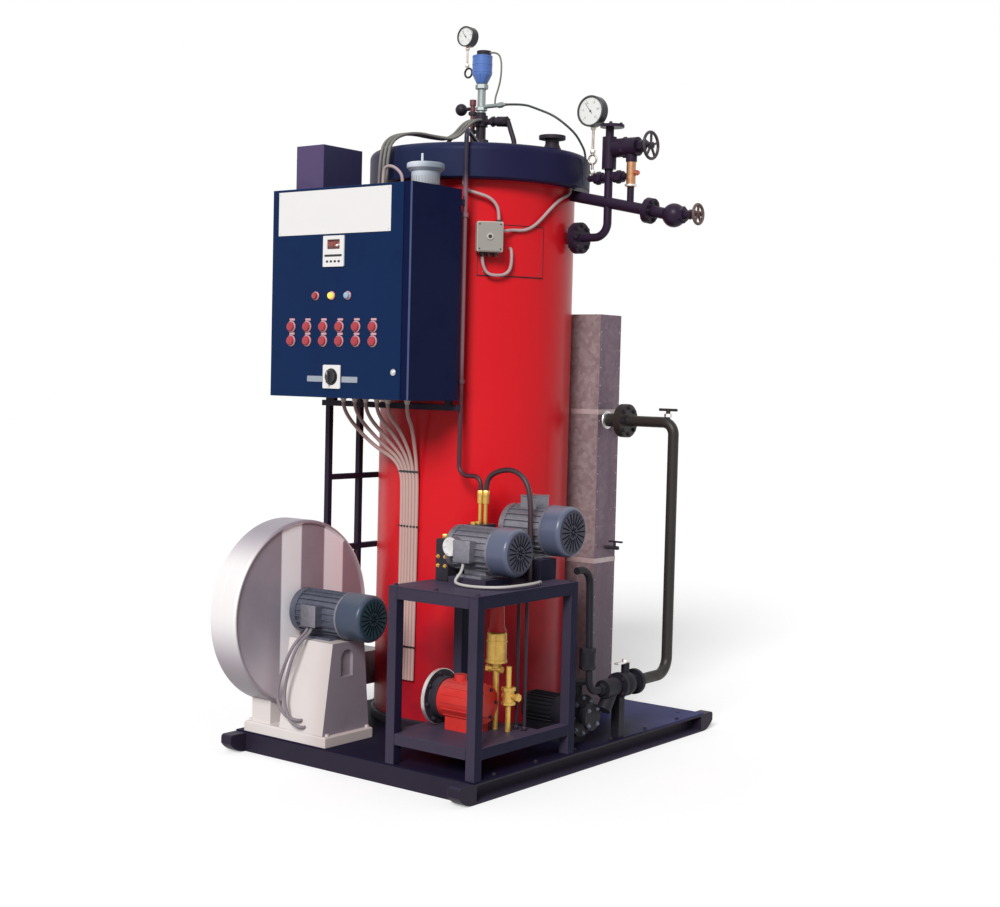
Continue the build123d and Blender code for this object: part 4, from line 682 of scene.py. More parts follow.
def repeating_group(name, inputs, points_kind, points_settings, points_inputs, radial):
    """Group that puts an item on points along an arc or a line and makes it real."""
    group = bpy.data.node_groups.new(name, "GeometryNodeTree")
    group.interface.new_socket("Geometry", in_out="OUTPUT", socket_type="NodeSocketGeometry")
    for socket, kind in {"Item": "NodeSocketObject", "Material": "NodeSocketMaterial", **inputs}.items():
        group.interface.new_socket(socket, in_out="INPUT", socket_type=kind)
    given = group.nodes.new("NodeGroupInput")
    result = group.nodes.new("NodeGroupOutput")
    points = group.nodes.new(points_kind)
    for key, value in points_settings.items():
        setattr(points, key, value)
    for socket, source in points_inputs.items():
        group.links.new(given.outputs[source], points.inputs[socket])
    item = group.nodes.new("GeometryNodeObjectInfo")
    placed = group.nodes.new("GeometryNodeInstanceOnPoints")
    real = group.nodes.new("GeometryNodeRealizeInstances")
    coloured = group.nodes.new("GeometryNodeSetMaterial")
    group.links.new(given.outputs["Item"], item.inputs["Object"])
    group.links.new(points.outputs[0], placed.inputs["Points"])
    group.links.new(item.outputs["Geometry"], placed.inputs["Instance"])
    if radial:
        position = group.nodes.new("GeometryNodeInputPosition")
        aligned = group.nodes.new("FunctionNodeAlignRotationToVector")
        aligned.axis = "X"
        aligned.pivot_axis = "Z"
        group.links.new(position.outputs[0], aligned.inputs["Vector"])
        group.links.new(aligned.outputs[0], placed.inputs["Rotation"])
    group.links.new(placed.outputs[0], real.inputs[0])
    group.links.new(real.outputs[0], coloured.inputs["Geometry"])
    group.links.new(given.outputs["Material"], coloured.inputs["Material"])
    group.links.new(coloured.outputs[0], result.inputs[0])
    return group


arc_group = repeating_group(
    "copies_on_arc", {"Count": "NodeSocketInt", "Radius": "NodeSocketFloat", "Start": "NodeSocketFloat",
                      "Sweep": "NodeSocketFloat"},
    "GeometryNodeCurveArc", {"mode": "RADIUS"},
    {"Resolution": "Count", "Radius": "Radius", "Start Angle": "Start", "Sweep Angle": "Sweep"}, True)
line_group = repeating_group(
    "copies_on_line", {"Count": "NodeSocketInt", "Step": "NodeSocketVector"},
    "GeometryNodeMeshLine", {"mode": "OFFSET"}, {"Count": "Count", "Offset": "Step"}, False)


def copies(group, item, at, out, turn=0.0, **values):
    """Copies of an item, made by a repeating group and put at a point."""
    item_mesh = bpy.data.meshes.new("item")
    item.to_mesh(item_mesh)
    item.free()
    item_object = bpy.data.objects.new("item", item_mesh)
    bpy.context.scene.collection.objects.link(item_object)
    host = bpy.data.objects.new("copies", bpy.data.meshes.new("copies"))
    modifier = host.modifiers.new("copies", "NODES")
    modifier.node_group = group
    named = {socket.name: socket.identifier
             for socket in group.interface.items_tree if socket.in_out == "INPUT"}
    for key, value in {"Item": item_object, "Material": finishes["bare_steel"], **values}.items():
        modifier[named[key]] = value
    shape = evaluated_shape(host)
    bpy.data.objects.remove(item_object)
    shape.transform(facing(at, out, turn))
    return shape


def ring_of(item, count, radius, at, out, turn=0.0, start=0.0, sweep=None):
    """Copies of an item round a centre, each turned outward."""
    whole = 2 * math.pi * (count - 1) / count
    return copies(arc_group, item, at, out, turn, Count=count, Radius=radius, Start=start,
                  Sweep=whole if sweep is None else sweep)


def row_of(item, count, step, at, out):
    """Copies of an item in a row; the step is across and up as the row faces."""
    return copies(line_group, item, at, out, Count=count, Step=(*step, 0.0))


def bolt_head(across):
    """Hexagon head on its washer, standing on the origin."""
    washer = turned([(0, 0), (across * 0.8, 0), (across * 0.8, across * 0.12), (0, across * 0.12)],
                    segments=16)
    head = turned([(0, across * 0.1), (across * 0.577, across * 0.1), (across * 0.577, across * 0.62),
                   (across * 0.5, across * 0.72), (0, across * 0.72)], segments=6)
    return joined(washer, head)


def screw_head(radius):
    """Low round screw head."""
    return turned([(0, 0), (radius, 0), (radius * 0.92, radius * 0.3), (radius * 0.5, radius * 0.48),
                   (0, radius * 0.52)], segments=14)


def bolt_ring(at, out, count, radius, across, turn=0.0):
    return ring_of(bolt_head(across), count, radius, at, out, turn)


def screws(places, out, radius=0.003):
    """Screw heads at chosen points."""
    made = []
    for at in places:
        head = screw_head(radius)
        head.transform(facing(at, out))
        made.append(head)
    return joined(*made)


def hexagon(across, height, at, out):
    """Hexagon nut with broken corners."""
    return turned([(0, 0), (across * 0.52, 0), (across * 0.577, height * 0.12),
                   (across * 0.577, height * 0.88), (across * 0.52, height), (0, height)], at, out, 6)


def cords(name, routes, radius, finish, node, body="root"):
    """Smooth round cords through given control points, one spline each."""
    curve = bpy.data.curves.new(name, "CURVE")
    curve.dimensions = "3D"
    curve.bevel_depth = radius
    curve.bevel_resolution = 3
    curve.resolution_u = 10
    curve.use_fill_caps = True
    for route in routes:
        spline = curve.splines.new("NURBS")
        spline.points.add(len(route) - 1)
        for point, place in zip(spline.points, route):
            point.co = (*place, 1.0)
        spline.order_u = 3
        spline.use_endpoint_u = True
    curve.materials.append(finishes[finish])
    made = bpy.data.objects.new(name, curve)
    bpy.context.scene.collection.objects.link(made)
    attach(made, body)
    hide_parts(node)
    return made


# Places that several pieces share

jacket_low, jacket_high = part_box("boiler_jacket")
jacket_axis = (jacket_low + jacket_high) / 2
jacket_r = (jacket_high.x - jacket_low.x) / 2
door_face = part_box("name_plate")[1].y
panel_low, panel_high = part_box("panel_cabinet")
panel_width = 0.784
panel_left = panel_high.x - panel_width
panel_bottom = panel_low.z
head_low, head_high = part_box("boiler_head")
fit_x, fit_y = jacket_axis.x + 0.03, jacket_axis.y - 0.04
manifold_z = head_high.z + 0.150
junction_angle = -46
pipe_x, pipe_y, union_z = 0.250, -0.345, 1.120
loop_x = 0.278
frame_top = 0.790
blower_motor_y, blower_motor_z = -0.672, 0.607
steam_y = 0.220


def on_jacket(angle, out, z):
    """Point beside the jacket, by angle in degrees from +X and distance out of its skin."""
    reach = jacket_r + out
    return (jacket_axis.x + reach * math.cos(math.radians(angle)),
            jacket_axis.y + reach * math.sin(math.radians(angle)), z)


def outward(angle):
    return (math.cos(math.radians(angle)), math.sin(math.radians(angle)), 0.0)


def on_door(across, up, proud=0.0):
    """Point on the door's face, by distance from its left and bottom edges."""
    return (panel_left + across, door_face - proud, panel_bottom + up)


def skid():
    """Runners, cross members and deck, with the screws that hold them."""
    dressed("skid_runners", bevel=0.002)
    dressed("skid_cross_members")
    dressed("skid_deck", "deck_paint", 0.001)
    low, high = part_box("skid_deck")
    rows = [row_of(bolt_head(0.012), count, (0.0, 0.27), (x, start, high.z), UP)
            for count, x, start in ((7, low.x + 0.022, -0.81), (6, high.x - 0.022, -0.70))]
    piece("deck_bolts", joined(*rows), "dark_steel")


def jacket():
    """Red shell with a riveted seam at the back, dark foot ring and the flush access plate."""
    dressed("boiler_jacket", bevel=0.0008)
    dressed("jacket_base_ring", "dark_steel")
    dressed("jacket_access_door", "red_paint", 0.0008)
    seam_angle = 158
    seam = cut_out(rounded(0.046, 2.28, 0.002, 1), 0.0016, on_jacket(seam_angle, -0.0004, 1.27),
                   outward(seam_angle))
    piece("jacket_seam", seam, "red_paint")
    rivets = [row_of(screw_head(0.0032), 38, (0.0, 0.06), on_jacket(seam_angle + side, 0.001, 0.16),
                     outward(seam_angle + side)) for side in (-2.1, 2.1)]
    piece("seam_rivets", joined(*rivets), "bare_steel")
    low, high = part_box("jacket_access_door")
    # Dark strips round the access plate: its seam, with painted shadow under the plate's edges.
    arc = [math.radians(-51.7 + 40.4 * step / 24) for step in range(25)]
    edges = [cut_out([(reach * math.cos(angle), reach * math.sin(angle)) for reach, angles in
                      ((jacket_r + 0.003, arc), (jacket_r - 0.001, arc[::-1])) for angle in angles],
                     0.004, (jacket_axis.x, jacket_axis.y, z), UP)
             for z in (low.z - 0.0042, high.z + 0.0002)]
    edges += [cut_out(rounded(0.004, high.z - low.z + 0.008, 0.0005, 1), 0.003,
                      on_jacket(angle, 0.0, (low.z + high.z) / 2), outward(angle))
              for angle in (-51.75, -11.25)]
    piece("access_seam", joined(*edges), "dark_steel")
    places = []
    for angle in (-48.5, -31.5, -14.5):
        for z in (low.z + 0.012, high.z - 0.012):
            if angle > -45 or z < low.z + 0.02:
                places.append(screws([on_jacket(angle, 0.0042, z)], outward(angle), 0.004))
    piece("access_screws", joined(*places), "pipe_red")


def head():
    """Dark insulated head with its band seams, the nozzle and the cover plate's bolts."""
    dressed("boiler_head", "head_paint", 0.002)
    dressed("head_nozzle", bevel=0.0015)
    head_r = (head_high.x - head_low.x) / 2
    seam_z = (head_low.z + 0.012 + head_high.z - 0.036) / 2
    strips = []
    for angle in (-104, 16, 136):
        out = outward(angle)
        at = (jacket_axis.x + out[0] * (head_r - 0.0004), jacket_axis.y + out[1] * (head_r - 0.0004),
              seam_z)
        strips.append(cut_out(rounded(0.030, 0.096, 0.002, 1), 0.0014, at, out))
    piece("head_seams", joined(*strips), "head_paint")
    centre = Vector((jacket_axis.x, jacket_axis.y - 0.02, head_high.z + 0.014))
    piece("cover_bolts", bolt_ring(centre, UP, 10, 0.135, 0.014, 0.2), "bare_steel")
    low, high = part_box("head_nozzle")
    middle = (low + high) / 2
    piece("nozzle_collar", turned([(0.030, 0.0), (0.040, 0.0), (0.034, 0.012), (0.0302, 0.022),
                                   (0.030, 0.022)],
                                  (middle.x, middle.y, low.z), UP), "dark_steel")


def panel_door_pieces():
    """Cabinet and door of the control panel, with the plate, gasket and lock; the plate stays bare."""
    dressed("panel_door", bevel=0.0012)
    dressed("panel_cabinet", "cabinet_shaded_paint", 0.0008)
    # Painted highlight: a lighter blue strip along the cabinet's front-right edge.
    edge_highlight_strip = slab((panel_high.x - 0.010, panel_low.y - 0.0004, panel_bottom + 0.001),
                      (panel_high.x - 0.0002, panel_low.y + 0.0006, panel_high.z - 0.001))
    piece("cabinet_edge", edge_highlight_strip, "edge_highlight_paint")
    dressed("name_plate", bevel=0.0006)
    low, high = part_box("name_plate")
    corners = [(x, low.y, z) for x in (low.x + 0.010, high.x - 0.010)
               for z in (low.z + 0.010, high.z - 0.010)]
    piece("plate_screws", screws(corners, FRONT, 0.0032), "bare_steel", "door")
    height, width = panel_high.z - panel_bottom, 0.737
    bars = [slab((panel_left + 0.008, door_face + 0.019, panel_bottom + z), (panel_left + width - 0.008,
            door_face + 0.0225, panel_bottom + z + 0.010)) for z in (0.006, height - 0.016)]
    bars += [slab((panel_left + x, door_face + 0.019, panel_bottom + 0.006), (panel_left + x + 0.010,
             door_face + 0.0225, panel_bottom + height - 0.006)) for x in (0.006, width - 0.016)]
    piece("door_gasket", joined(*bars), "black_plastic", "door")
    at = on_door(0.702, 0.111)
    lock = joined(puck(0.0135, 0.004, 0.001, at, FRONT), puck(0.0085, 0.0065, 0.001, at, FRONT),
                  cut_out(rounded(0.003, 0.013, 0.0012, 2), 0.0078, at, turn=0.5))
    piece("door_lock", lock, "bare_steel", "door")


def display():
    """Controller with a red window, over a white strip under a dark slot."""
    dressed("display_unit", "white_plate", 0.001)
    low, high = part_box("display_unit")
    middle = (low + high) / 2
    window = Vector((middle.x, low.y + 0.0029, middle.z + 0.028))
    piece("display_window", cut_out(rounded(0.070, 0.038, 0.002), 0.0006, window), "display_red", "door")
    figures = joined(*[lettering(figure, 0.026, window + Vector((across, -0.0007, 0.0)), FRONT)
                       for figure, across in zip("0850", (-0.024, -0.008, 0.008, 0.024))])
    piece("display_figures", figures, "display_figures", "door")
    slot_bar = cut_out(rounded(0.098, 0.009, 0.002), 0.0006, (middle.x, low.y, low.z + 0.046))
    keys = row_of(cut_out(rounded(0.012, 0.008, 0.002), 0.0016, out=UP), 4, (0.022, 0.0),
                  (middle.x - 0.033, low.y, low.z + 0.022), FRONT)
    piece("display_keys", joined(slot_bar, keys), "black_plastic", "door")


def lamps_and_buttons():
    """Three pilot lamps and two rows of red push buttons, each with its collar and a pale tab."""
    collar_profile = [(0.0, 0.0), (0.024, 0.0), (0.024, 0.0035), (0.0225, 0.005), (0.0195, 0.005),
                      (0.0192, 0.003), (0.0, 0.003)]
    cap_profile = [(0.0, 0.003), (0.0186, 0.003), (0.0188, 0.011), (0.0165, 0.0140), (0.011, 0.0155),
                   (0.0, 0.0160)]
    lamp_collar = [(0.0, 0.0), (0.018, 0.0), (0.018, 0.0038), (0.0165, 0.005), (0.0143, 0.005),
                   (0.0, 0.0045)]
    lens_profile = [(0.0, 0.004), (0.0138, 0.004), (0.0138, 0.011), (0.0125, 0.0145), (0.008, 0.0172),
                    (0.0, 0.018)]
    pitch, lamp_pitch = 0.093, 0.091
    lamp_across, lamp_up = 0.263, 0.422
    collars, caps, tabs = [], [], []
    for up in (0.235, 0.294):
        at = on_door(0.122, up)
        collars.append(row_of(turned(collar_profile), 6, (pitch, 0.0), at, FRONT))
        caps.append(row_of(turned(cap_profile), 6, (pitch, 0.0), at, FRONT))
        tab = cut_out(rounded(0.030, 0.009, 0.0015, 2), 0.0012, out=UP)
        tabs.append(row_of(tab, 6, (pitch, 0.0), on_door(0.126, up + 0.030), FRONT))
    collars.append(row_of(turned(lamp_collar), 3, (lamp_pitch, 0.0), on_door(lamp_across, lamp_up), FRONT))
    for name, shape, finish in (("button_collars", joined(*collars), "collar_red"),
                                ("button_caps", joined(*caps), "button_red")):
        piece(name, shape, finish, "door", ("panel_controls",))
    piece("button_tabs", joined(*tabs), "tab_rose", "door")
    for index, finish in enumerate(("lens_red", "lens_yellow", "lens_pale")):
        piece(finish, turned(lens_profile, on_door(lamp_across + lamp_pitch * index, lamp_up), FRONT),
              finish, "door", ("panel_controls",))


def main_switch():
    """White switch plate with a dark dial, its turning knob, and a pale strip on each side."""
    dressed("switch_plate", "white_plate", 0.0012)
    low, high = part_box("switch_plate")
    middle = (low + high) / 2
    dial = turned([(0.0055, 0.0), (0.035, 0.0), (0.035, 0.0007), (0.033, 0.0010), (0.0055, 0.0010)],
                  (middle.x, door_face - 0.006, middle.z), FRONT)
    piece("switch_dial", dial, "black_plastic", "door")
    dressed("switch_knob", "knob_dark", 0.0012)
    knob_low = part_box("switch_knob")[0]
    mark = cut_out(rounded(0.0022, 0.016, 0.0008, 2), 0.0003, (middle.x, knob_low.y, middle.z + 0.014))
    piece("knob_mark", mark, "white_plate", "switch")
    strips = [cut_out(rounded(0.088, 0.024, 0.003), 0.0015,
                      (middle.x + side * 0.099, door_face, middle.z - 0.010))
              for side in (-1, 1)]
    piece("switch_strips", joined(*strips), "strip_pale", "door")


def alarm():
    """Alarm on the roof: slotted body that widens to a round rim, with a stem."""
    at = Vector((alarm_x, (alarm_low.y + alarm_high.y) / 2, alarm_low.z))
    body = turned([(0, 0), (0.054, 0), (0.056, 0.003), (0.060, 0.062), (0.0735, 0.0725), (0.0775, 0.0765),
                   (0.078, 0.080), (0.078, 0.093), (0.0765, 0.0965), (0.070, 0.0995), (0.056, 0.101),
                   (0, 0.101)],
                  at, segments=72)
    stem = joined(turned([(0, 0.098), (0.009, 0.098), (0.009, 0.104), (0.005, 0.105), (0.005, 0.139),
                          (0.0035, 0.141), (0, 0.141)], at + Vector((-0.02, 0, 0)), segments=20))
    piece("alarm_body", joined(body, stem), "alarm_lit_and_shaded", replaces=("alarm_horn",))
    bars = ring_of(slab((-0.0012, -0.0018, 0.012), (0.0012, 0.0018, 0.044)), 28, 0.0576, at, UP)
    piece("alarm_slots", bars, "cable_grey")


def roof_box():
    """Sheet box on the panel roof with a folded foot."""
    # The front face gets the lighter copy of the paint: painted light.
    dressed("roof_box", "roof_paint", 0.0015, (("roof_lit_front", lambda at, normal: normal.y < -0.7),))
    low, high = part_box("roof_box")
    feet = [slab((low.x - 0.012, low.y, low.z), (low.x, high.y, low.z + 0.002)),
            slab((high.x, low.y, low.z), (high.x + 0.012, high.y, low.z + 0.002))]
    feet += [row_of(screw_head(0.003), 4, (0.0, 0.07), (x, low.y + 0.015, low.z + 0.002), UP)
             for x in (high.x + 0.006, low.x - 0.006)]
    piece("roof_box_feet", joined(*feet), "roof_paint")


def junction_box():
    """Grey box with a screwed lid and glands."""
    dressed("junction_box", "box_grey", 0.003)
    low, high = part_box("junction_box")
    angle, z = junction_angle, (low.z + high.z) / 2
    out = outward(angle)
    at = on_jacket(angle, 0.0815, z)
    lid = cut_out(rounded(0.104, 0.119, 0.008), 0.0035, at, out)
    frame_of_lid = facing(on_jacket(angle, 0.085, z), out)
    corners = [frame_of_lid @ Vector((across, up, 0)) for across in (-0.044, 0.044)
               for up in (-0.051, 0.051)]
    piece("junction_lid", lid, "lid_grey", bevel=0.001)
    cap = puck(0.009, 0.0055, 0.001, on_jacket(angle, 0.085, z), out)
    piece("junction_screws", joined(screws(corners, out, 0.0036), cap), "black_plastic")
    glands = [joined(hexagon(0.022, 0.008, on_jacket(gland_angle, 0.040, z - 0.0625), DOWN),
                     turned([(0, 0.008), (0.0095, 0.008), (0.0085, 0.018), (0, 0.019)],
                            on_jacket(gland_angle, 0.040, z - 0.0625), DOWN, 20))
              for gland_angle in (-49.4, -46.0, -42.6)]
    glands.append(hexagon(0.020, 0.012, on_jacket(-41, 0.036, z + 0.0625), UP))
    piece("junction_glands", joined(*glands), "black_plastic")


def conduits():
    """Six conduits from the panel's glands to a tied bundle down the jacket."""
    places = (0.186, 0.253, 0.317, 0.381, 0.443, 0.553)
    gland_y, gland_low, tie_z = panel_high.y - 0.05, panel_bottom - 0.022, 1.225
    routes, glands = [], []
    for index, place in enumerate(places):
        x = panel_left + place
        angle = -95 + 2.2 * index
        tie = on_jacket(angle, 0.022, tie_z)
        sag_z = tie_z + 0.060 + index * 0.0176
        routes.append([(x, gland_y, gland_low), (x, gland_y, gland_low - 0.045),
                       ((x + tie[0]) / 2, (gland_y + tie[1]) / 2, sag_z + 0.020),
                       (tie[0], tie[1], tie_z + 0.010),
                       on_jacket(angle, 0.012, tie_z - 0.160), on_jacket(angle - 1, 0.012, 0.300)])
        glands.append(hexagon(0.026, 0.009, (x, gland_y, panel_bottom), DOWN))
        glands.append(turned([(0, 0.009), (0.0115, 0.009), (0.0115, 0.015), (0.0095, 0.022), (0, 0.022)],
                             (x, gland_y, panel_bottom), DOWN, 24))
    cords("conduit_run", routes, 0.008, "conduit_beige", "panel_conduits")
    piece("conduit_glands", joined(*glands), "conduit_white", replaces=("panel_conduits",))
    ties = []
    for z, out in ((1.196, 0.0215), (0.960, 0.0125), (0.700, 0.0125), (0.440, 0.0125)):
        shift = -1.0 * (1.065 - min(z, 1.065)) / 0.765
        middle = -89.5 + shift
        skin = jacket_r + out + 0.0076
        arc = [math.radians(middle - 7.2 + 1.2 * step) for step in range(13)]
        outline = [(reach * math.cos(angle), reach * math.sin(angle)) for reach, angles in
                   ((skin + 0.0012, arc), (skin, arc[::-1])) for angle in angles]
        ties.append(cut_out(outline, 0.008, (jacket_axis.x, jacket_axis.y, z), UP))
    piece("conduit_ties", joined(*ties), "black_plastic")


def service_cables():
    """Cables of panel, head, alarm, junction box and blower motor, and the front pump motor's lead."""
    head_z = head_high.z
    roof_z, roof_y = panel_high.z, panel_high.y - 0.06
    bundle = []
    for index in (-1, 0, 1):
        shift = index * 0.021
        x = panel_left + 0.397 + shift
        end_y = fit_y - math.sqrt(0.030 ** 2 - (index * 0.014) ** 2) - 0.0003
        bundle.append([(x, roof_y, roof_z), (x, roof_y, roof_z + 0.170),
                       (x - 0.008, roof_y + 0.065, head_z + 0.035),
                       (x - 0.015, roof_y + 0.200, head_z + 0.070),
                       (x + 0.008, jacket_axis.y - 0.215, head_z + 0.064),
                       (fit_x - 0.065 + shift, jacket_axis.y - 0.150, head_z + 0.060),
                       (fit_x + shift, jacket_axis.y - 0.115, manifold_z),
                       (fit_x + shift, end_y, manifold_z)])
    cords("roof_cables", bundle, 0.007, "cable_olive", "service_cables")
    x, y = panel_left, panel_high.y - 0.105
    alarm_loop = [(x + across, y, roof_z + rise) for across, rise in (
        (0.440, 0.0), (0.440, 0.070), (0.452, 0.102), (0.496, 0.099), (0.536, 0.072), (0.550, 0.045),
        (0.550, 0.0))]
    z = 2.195
    box_in = [on_jacket(-60, 0.030, 2.440)]
    box_in += [on_jacket(angle, out, z + rise) for angle, out, rise in (
        (-60, 0.030, 0.200), (-53.4, 0.030, 0.185), (junction_angle, 0.030, 0.168), (-42, 0.032, 0.135),
        (-41, 0.036, 0.095), (-41, 0.036, 0.0625))]
    box_frame = facing(on_jacket(junction_angle, 0.0, z), outward(junction_angle))
    box_out = [tuple(box_frame @ Vector((across, 0.030, 0.030))) for across in (0.0553, 0.075)]
    box_out += [on_jacket(angle, out, z + rise) for angle, out, rise in (
        (-32.8, 0.016, 0.037), (-26.2, 0.014, 0.037), (-21.1, 0.014, 0.051), (-15.7, 0.014, 0.081),
        (-4.9, 0.014, 0.158), (3, 0.014, 0.195), (12.3, 0.016, 0.220), (12.3, 0.016, 0.245))]
    box_loop = [on_jacket(angle, out, z + rise) for angle, out, rise in (
        (-49.4, 0.040, -0.0625), (-49.4, 0.040, -0.100), (-47.6, 0.032, -0.140), (-45, 0.030, -0.155),
        (-41, 0.028, -0.157), (-36.5, 0.022, -0.152), (-33.3, 0.027, -0.125), (-33.3, 0.027, -0.040),
        (-33.3, 0.0046, -0.040))]
    cords("box_cables", [alarm_loop, box_in, box_out, box_loop], 0.007, "cable_rose", "service_cables")
    motor_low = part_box("blower_motor")[0]
    leads = []
    for shift in (0.0, 0.021):
        x = motor_low.x + 0.125 + shift
        end_z = 0.180 - 1.2 * shift
        box_low = blower_motor_z - 0.04116
        leads.append([(x, motor_low.y + 0.020, box_low), (x, motor_low.y + 0.020, box_low - 0.025),
                      (x - 0.010, -0.862, box_low - 0.075), (x - 0.095 + shift, -0.867, 0.290),
                      (x - 0.060 + shift, -0.867, 0.200 - 1.2 * shift), (x + 0.030, -0.867, end_z),
                      (x + 0.030, -0.837, end_z)])
    cords("motor_leads", leads, 0.007, "cable_mauve", "service_cables")
    cap_z = 3.026
    signal = [(fit_x + across, fit_y, cap_z + rise) for across, rise in (
        (0.0403, 0.010), (0.084, 0.010), (0.108, -0.030), (0.106, -0.106), (0.091, -0.156),
        (0.076, -0.190))]
    signal.append((fit_x + 0.076, fit_y, head_z + 0.2223))
    cords("signal_cable", [signal], 0.004, "cable_olive", "service_cables")
    front_lead = [(0.404, -0.640, 0.886), (0.404, -0.640, 0.850), (0.380, -0.668, 0.806),
                  (0.430, -0.690, 0.799), (0.520, -0.690, 0.799), (0.610, -0.650, 0.803),
                  (0.636, -0.560, 0.806), (0.632, -0.450, 0.806), (0.610, -0.400, 0.806),
                  (0.600, -0.390, frame_top)]
    cords("front_motor_lead", [front_lead], 0.006, "cable_pale", "service_cables")


def hoses():
    """Arched hose on the head, and the loop hose and thin lines of the pump frame."""
    head_z = head_high.z
    start = Vector((fit_x + 0.1323, fit_y, head_z + 0.213))
    end = Vector((0.3627, jacket_axis.y + 0.13, head_z - 0.110))
    shares = ((0.27, 0.03, 0.210), (0.49, 0.09, 0.182), (0.70, 0.20, 0.152), (0.85, 0.35, 0.110),
              (0.92, 0.59, 0.073), (0.95, 0.77, 0.032), (0.965, 0.88, 0.003), (0.95, 0.97, -0.055))
    route = [(start.x - 0.010, start.y, start.z)]
    route += [(start.x + across * (end.x - start.x), start.y + back * (end.y - start.y), head_z + rise)
              for across, back, rise in shares]
    route += [(end.x - 0.018, end.y, end.z), tuple(end)]
    cords("head_hose_run", [route], 0.005, "hose_olive", "head_hose")
    fitting = joined(puck(0.009, 0.096, 0.001, (fit_x + 0.0183, fit_y, start.z), RIGHT, 24),
                     hexagon(0.022, 0.026, (start.x - 0.038, fit_y, start.z), RIGHT),
                     turned([(0, 0), (0.0085, 0), (0.0085, 0.006), (0.0065, 0.012), (0.0065, 0.020),
                             (0, 0.020)],
                            (start.x - 0.014, fit_y, start.z), RIGHT, 24))
    piece("head_hose_fitting", fitting, "fitting_grey", replaces=("head_hose",))
    x, y, top = loop_x, pipe_y, union_z
    loop = [(x + across, y, top + rise) for across, rise in (
        (0.0, 0.0), (0.0, 0.040), (0.016, 0.085), (0.072, 0.112), (0.142, 0.118), (0.204, 0.082),
        (0.230, 0.010), (0.233, -0.130))]
    loop.append((x + 0.233, y, frame_top))
    cords("loop_hose", [loop], 0.011, "hose_black", "pump_hoses")
    low, high, line_y = 0.210, 0.784, -0.455
    lines = []
    for line_x in (0.545, 0.585):
        lines.append(puck(0.007, high - low, 0.001, (line_x, line_y, low), UP, 20))
        lines += [hexagon(0.020, 0.016, (line_x, line_y, z), UP) for z in (low, high - 0.016)]
    piece("thin_lines", joined(*lines), "dark_steel", replaces=("pump_hoses",))


def stand_and_pipe():
    """Panel stand and the upright pipe with its unions."""
    dressed("stand_legs", bevel=0.001)
    dressed("stand_rails", bevel=0.001)
    dressed("jacket_pipe", "upright_pipe", 0.0005)
    unions = [hexagon(0.025, 0.026, (pipe_x, pipe_y, union_z - 0.004), UP),
              hexagon(0.026, 0.028, (loop_x, pipe_y, union_z - 0.004), UP)]
    piece("pipe_unions", joined(*unions), "brass")


def motor_extras(name, x, y, z, length, radius, box_side):
    """Cowl grille, end-shield screws and band, and the terminal lid with its screws, of one motor."""
    end = x + length
    slots_cut = ring_of(slab((-0.24 * radius, -0.0022, 0.0), (0.24 * radius, 0.0022, 0.0010)), 20,
                        0.52 * radius, (end, y, z), RIGHT)
    inner = ring_of(slab((-0.008, -0.0022, 0.0), (0.008, 0.0022, 0.0010)), 8, 0.14 * radius, (end, y, z),
                    RIGHT)
    piece(name + "_grille", joined(slots_cut, inner), "slot_dark")
    cowl = x + length * 0.66
    studs = []
    for turn in (0.785, 2.356, 3.927, 5.498):
        out = (0.0, math.cos(turn), math.sin(turn))
        studs.append(screws([(cowl + 0.006, y + radius * out[1], z + radius * out[2])], out, 0.0045))
    band = hoop(radius - 0.001, radius + 0.0012, 0.0, 0.010, 0.0, (cowl, y, z), RIGHT, 64)
    box_mid = x + 0.36 * length
    if box_side == "top":
        lid = slab((box_mid - 0.042, y - 0.46 * radius, z + 1.30 * radius),
                   (box_mid + 0.042, y + 0.46 * radius, z + 1.35 * radius), 0.002)
        corners = [(box_mid + side * 0.036, y + across * 0.38 * radius, z + 1.35 * radius)
                   for side in (-1, 1) for across in (-1, 1)]
        lid_screws = screws(corners, UP, 0.003)
    else:
        lid = slab((box_mid - 0.042, y - 1.31 * radius, z - 0.46 * radius),
                   (box_mid + 0.042, y - 1.26 * radius, z + 0.46 * radius), 0.002)
        corners = [(box_mid + side * 0.036, y - 1.31 * radius, z + across * 0.38 * radius)
                   for side in (-1, 1) for across in (-1, 1)]
        lid_screws = screws(corners, FRONT, 0.003)
    piece(name + "_fixings", joined(*studs, band, lid, lid_screws), "motor_silver")


def motors():
    """Finned bodies with darker cowls: slate at the blower, silver on the pump frame."""
    cowl_share = 0.655
    x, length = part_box("blower_motor")[0].x, 0.395
    dressed("blower_motor", "motor_slate", 0.0012, (
        ("motor_dark", lambda at, normal: at.x > x + cowl_share * length),
        ("cowl_end", lambda at, normal: at.x > x + length - 0.002)))
    motor_extras("blower_motor", x, blower_motor_y, blower_motor_z, length, 0.098, "front")
    front_x, rear_x, frame_length = 0.292, 0.322, 0.310

    def frame_cowl(at, normal):
        return at.x > (front_x if at.y < -0.40 else rear_x) + cowl_share * frame_length

    dressed("pump_motors", "motor_silver", 0.0012, (
        ("motor_blue", frame_cowl),
        ("cowl_grey", lambda at, normal: normal.x > 0.9 and frame_cowl(at, normal))))
    motor_extras("front_motor", front_x, -0.530, 0.925, frame_length, 0.096, "front")
    motor_extras("rear_motor", rear_x, -0.215, 0.990, frame_length, 0.104, "top")
    at = (0.335, -0.6395, 0.937)
    cover = joined(turned([(0, 0), (0.030, 0), (0.034, 0.0015), (0.037, 0.0015), (0.038, 0.0006),
                           (0.038, -0.004)], at, FRONT), bolt_ring(at, FRONT, 6, 0.030, 0.007))
    piece("end_cover", cover, "white_metal")


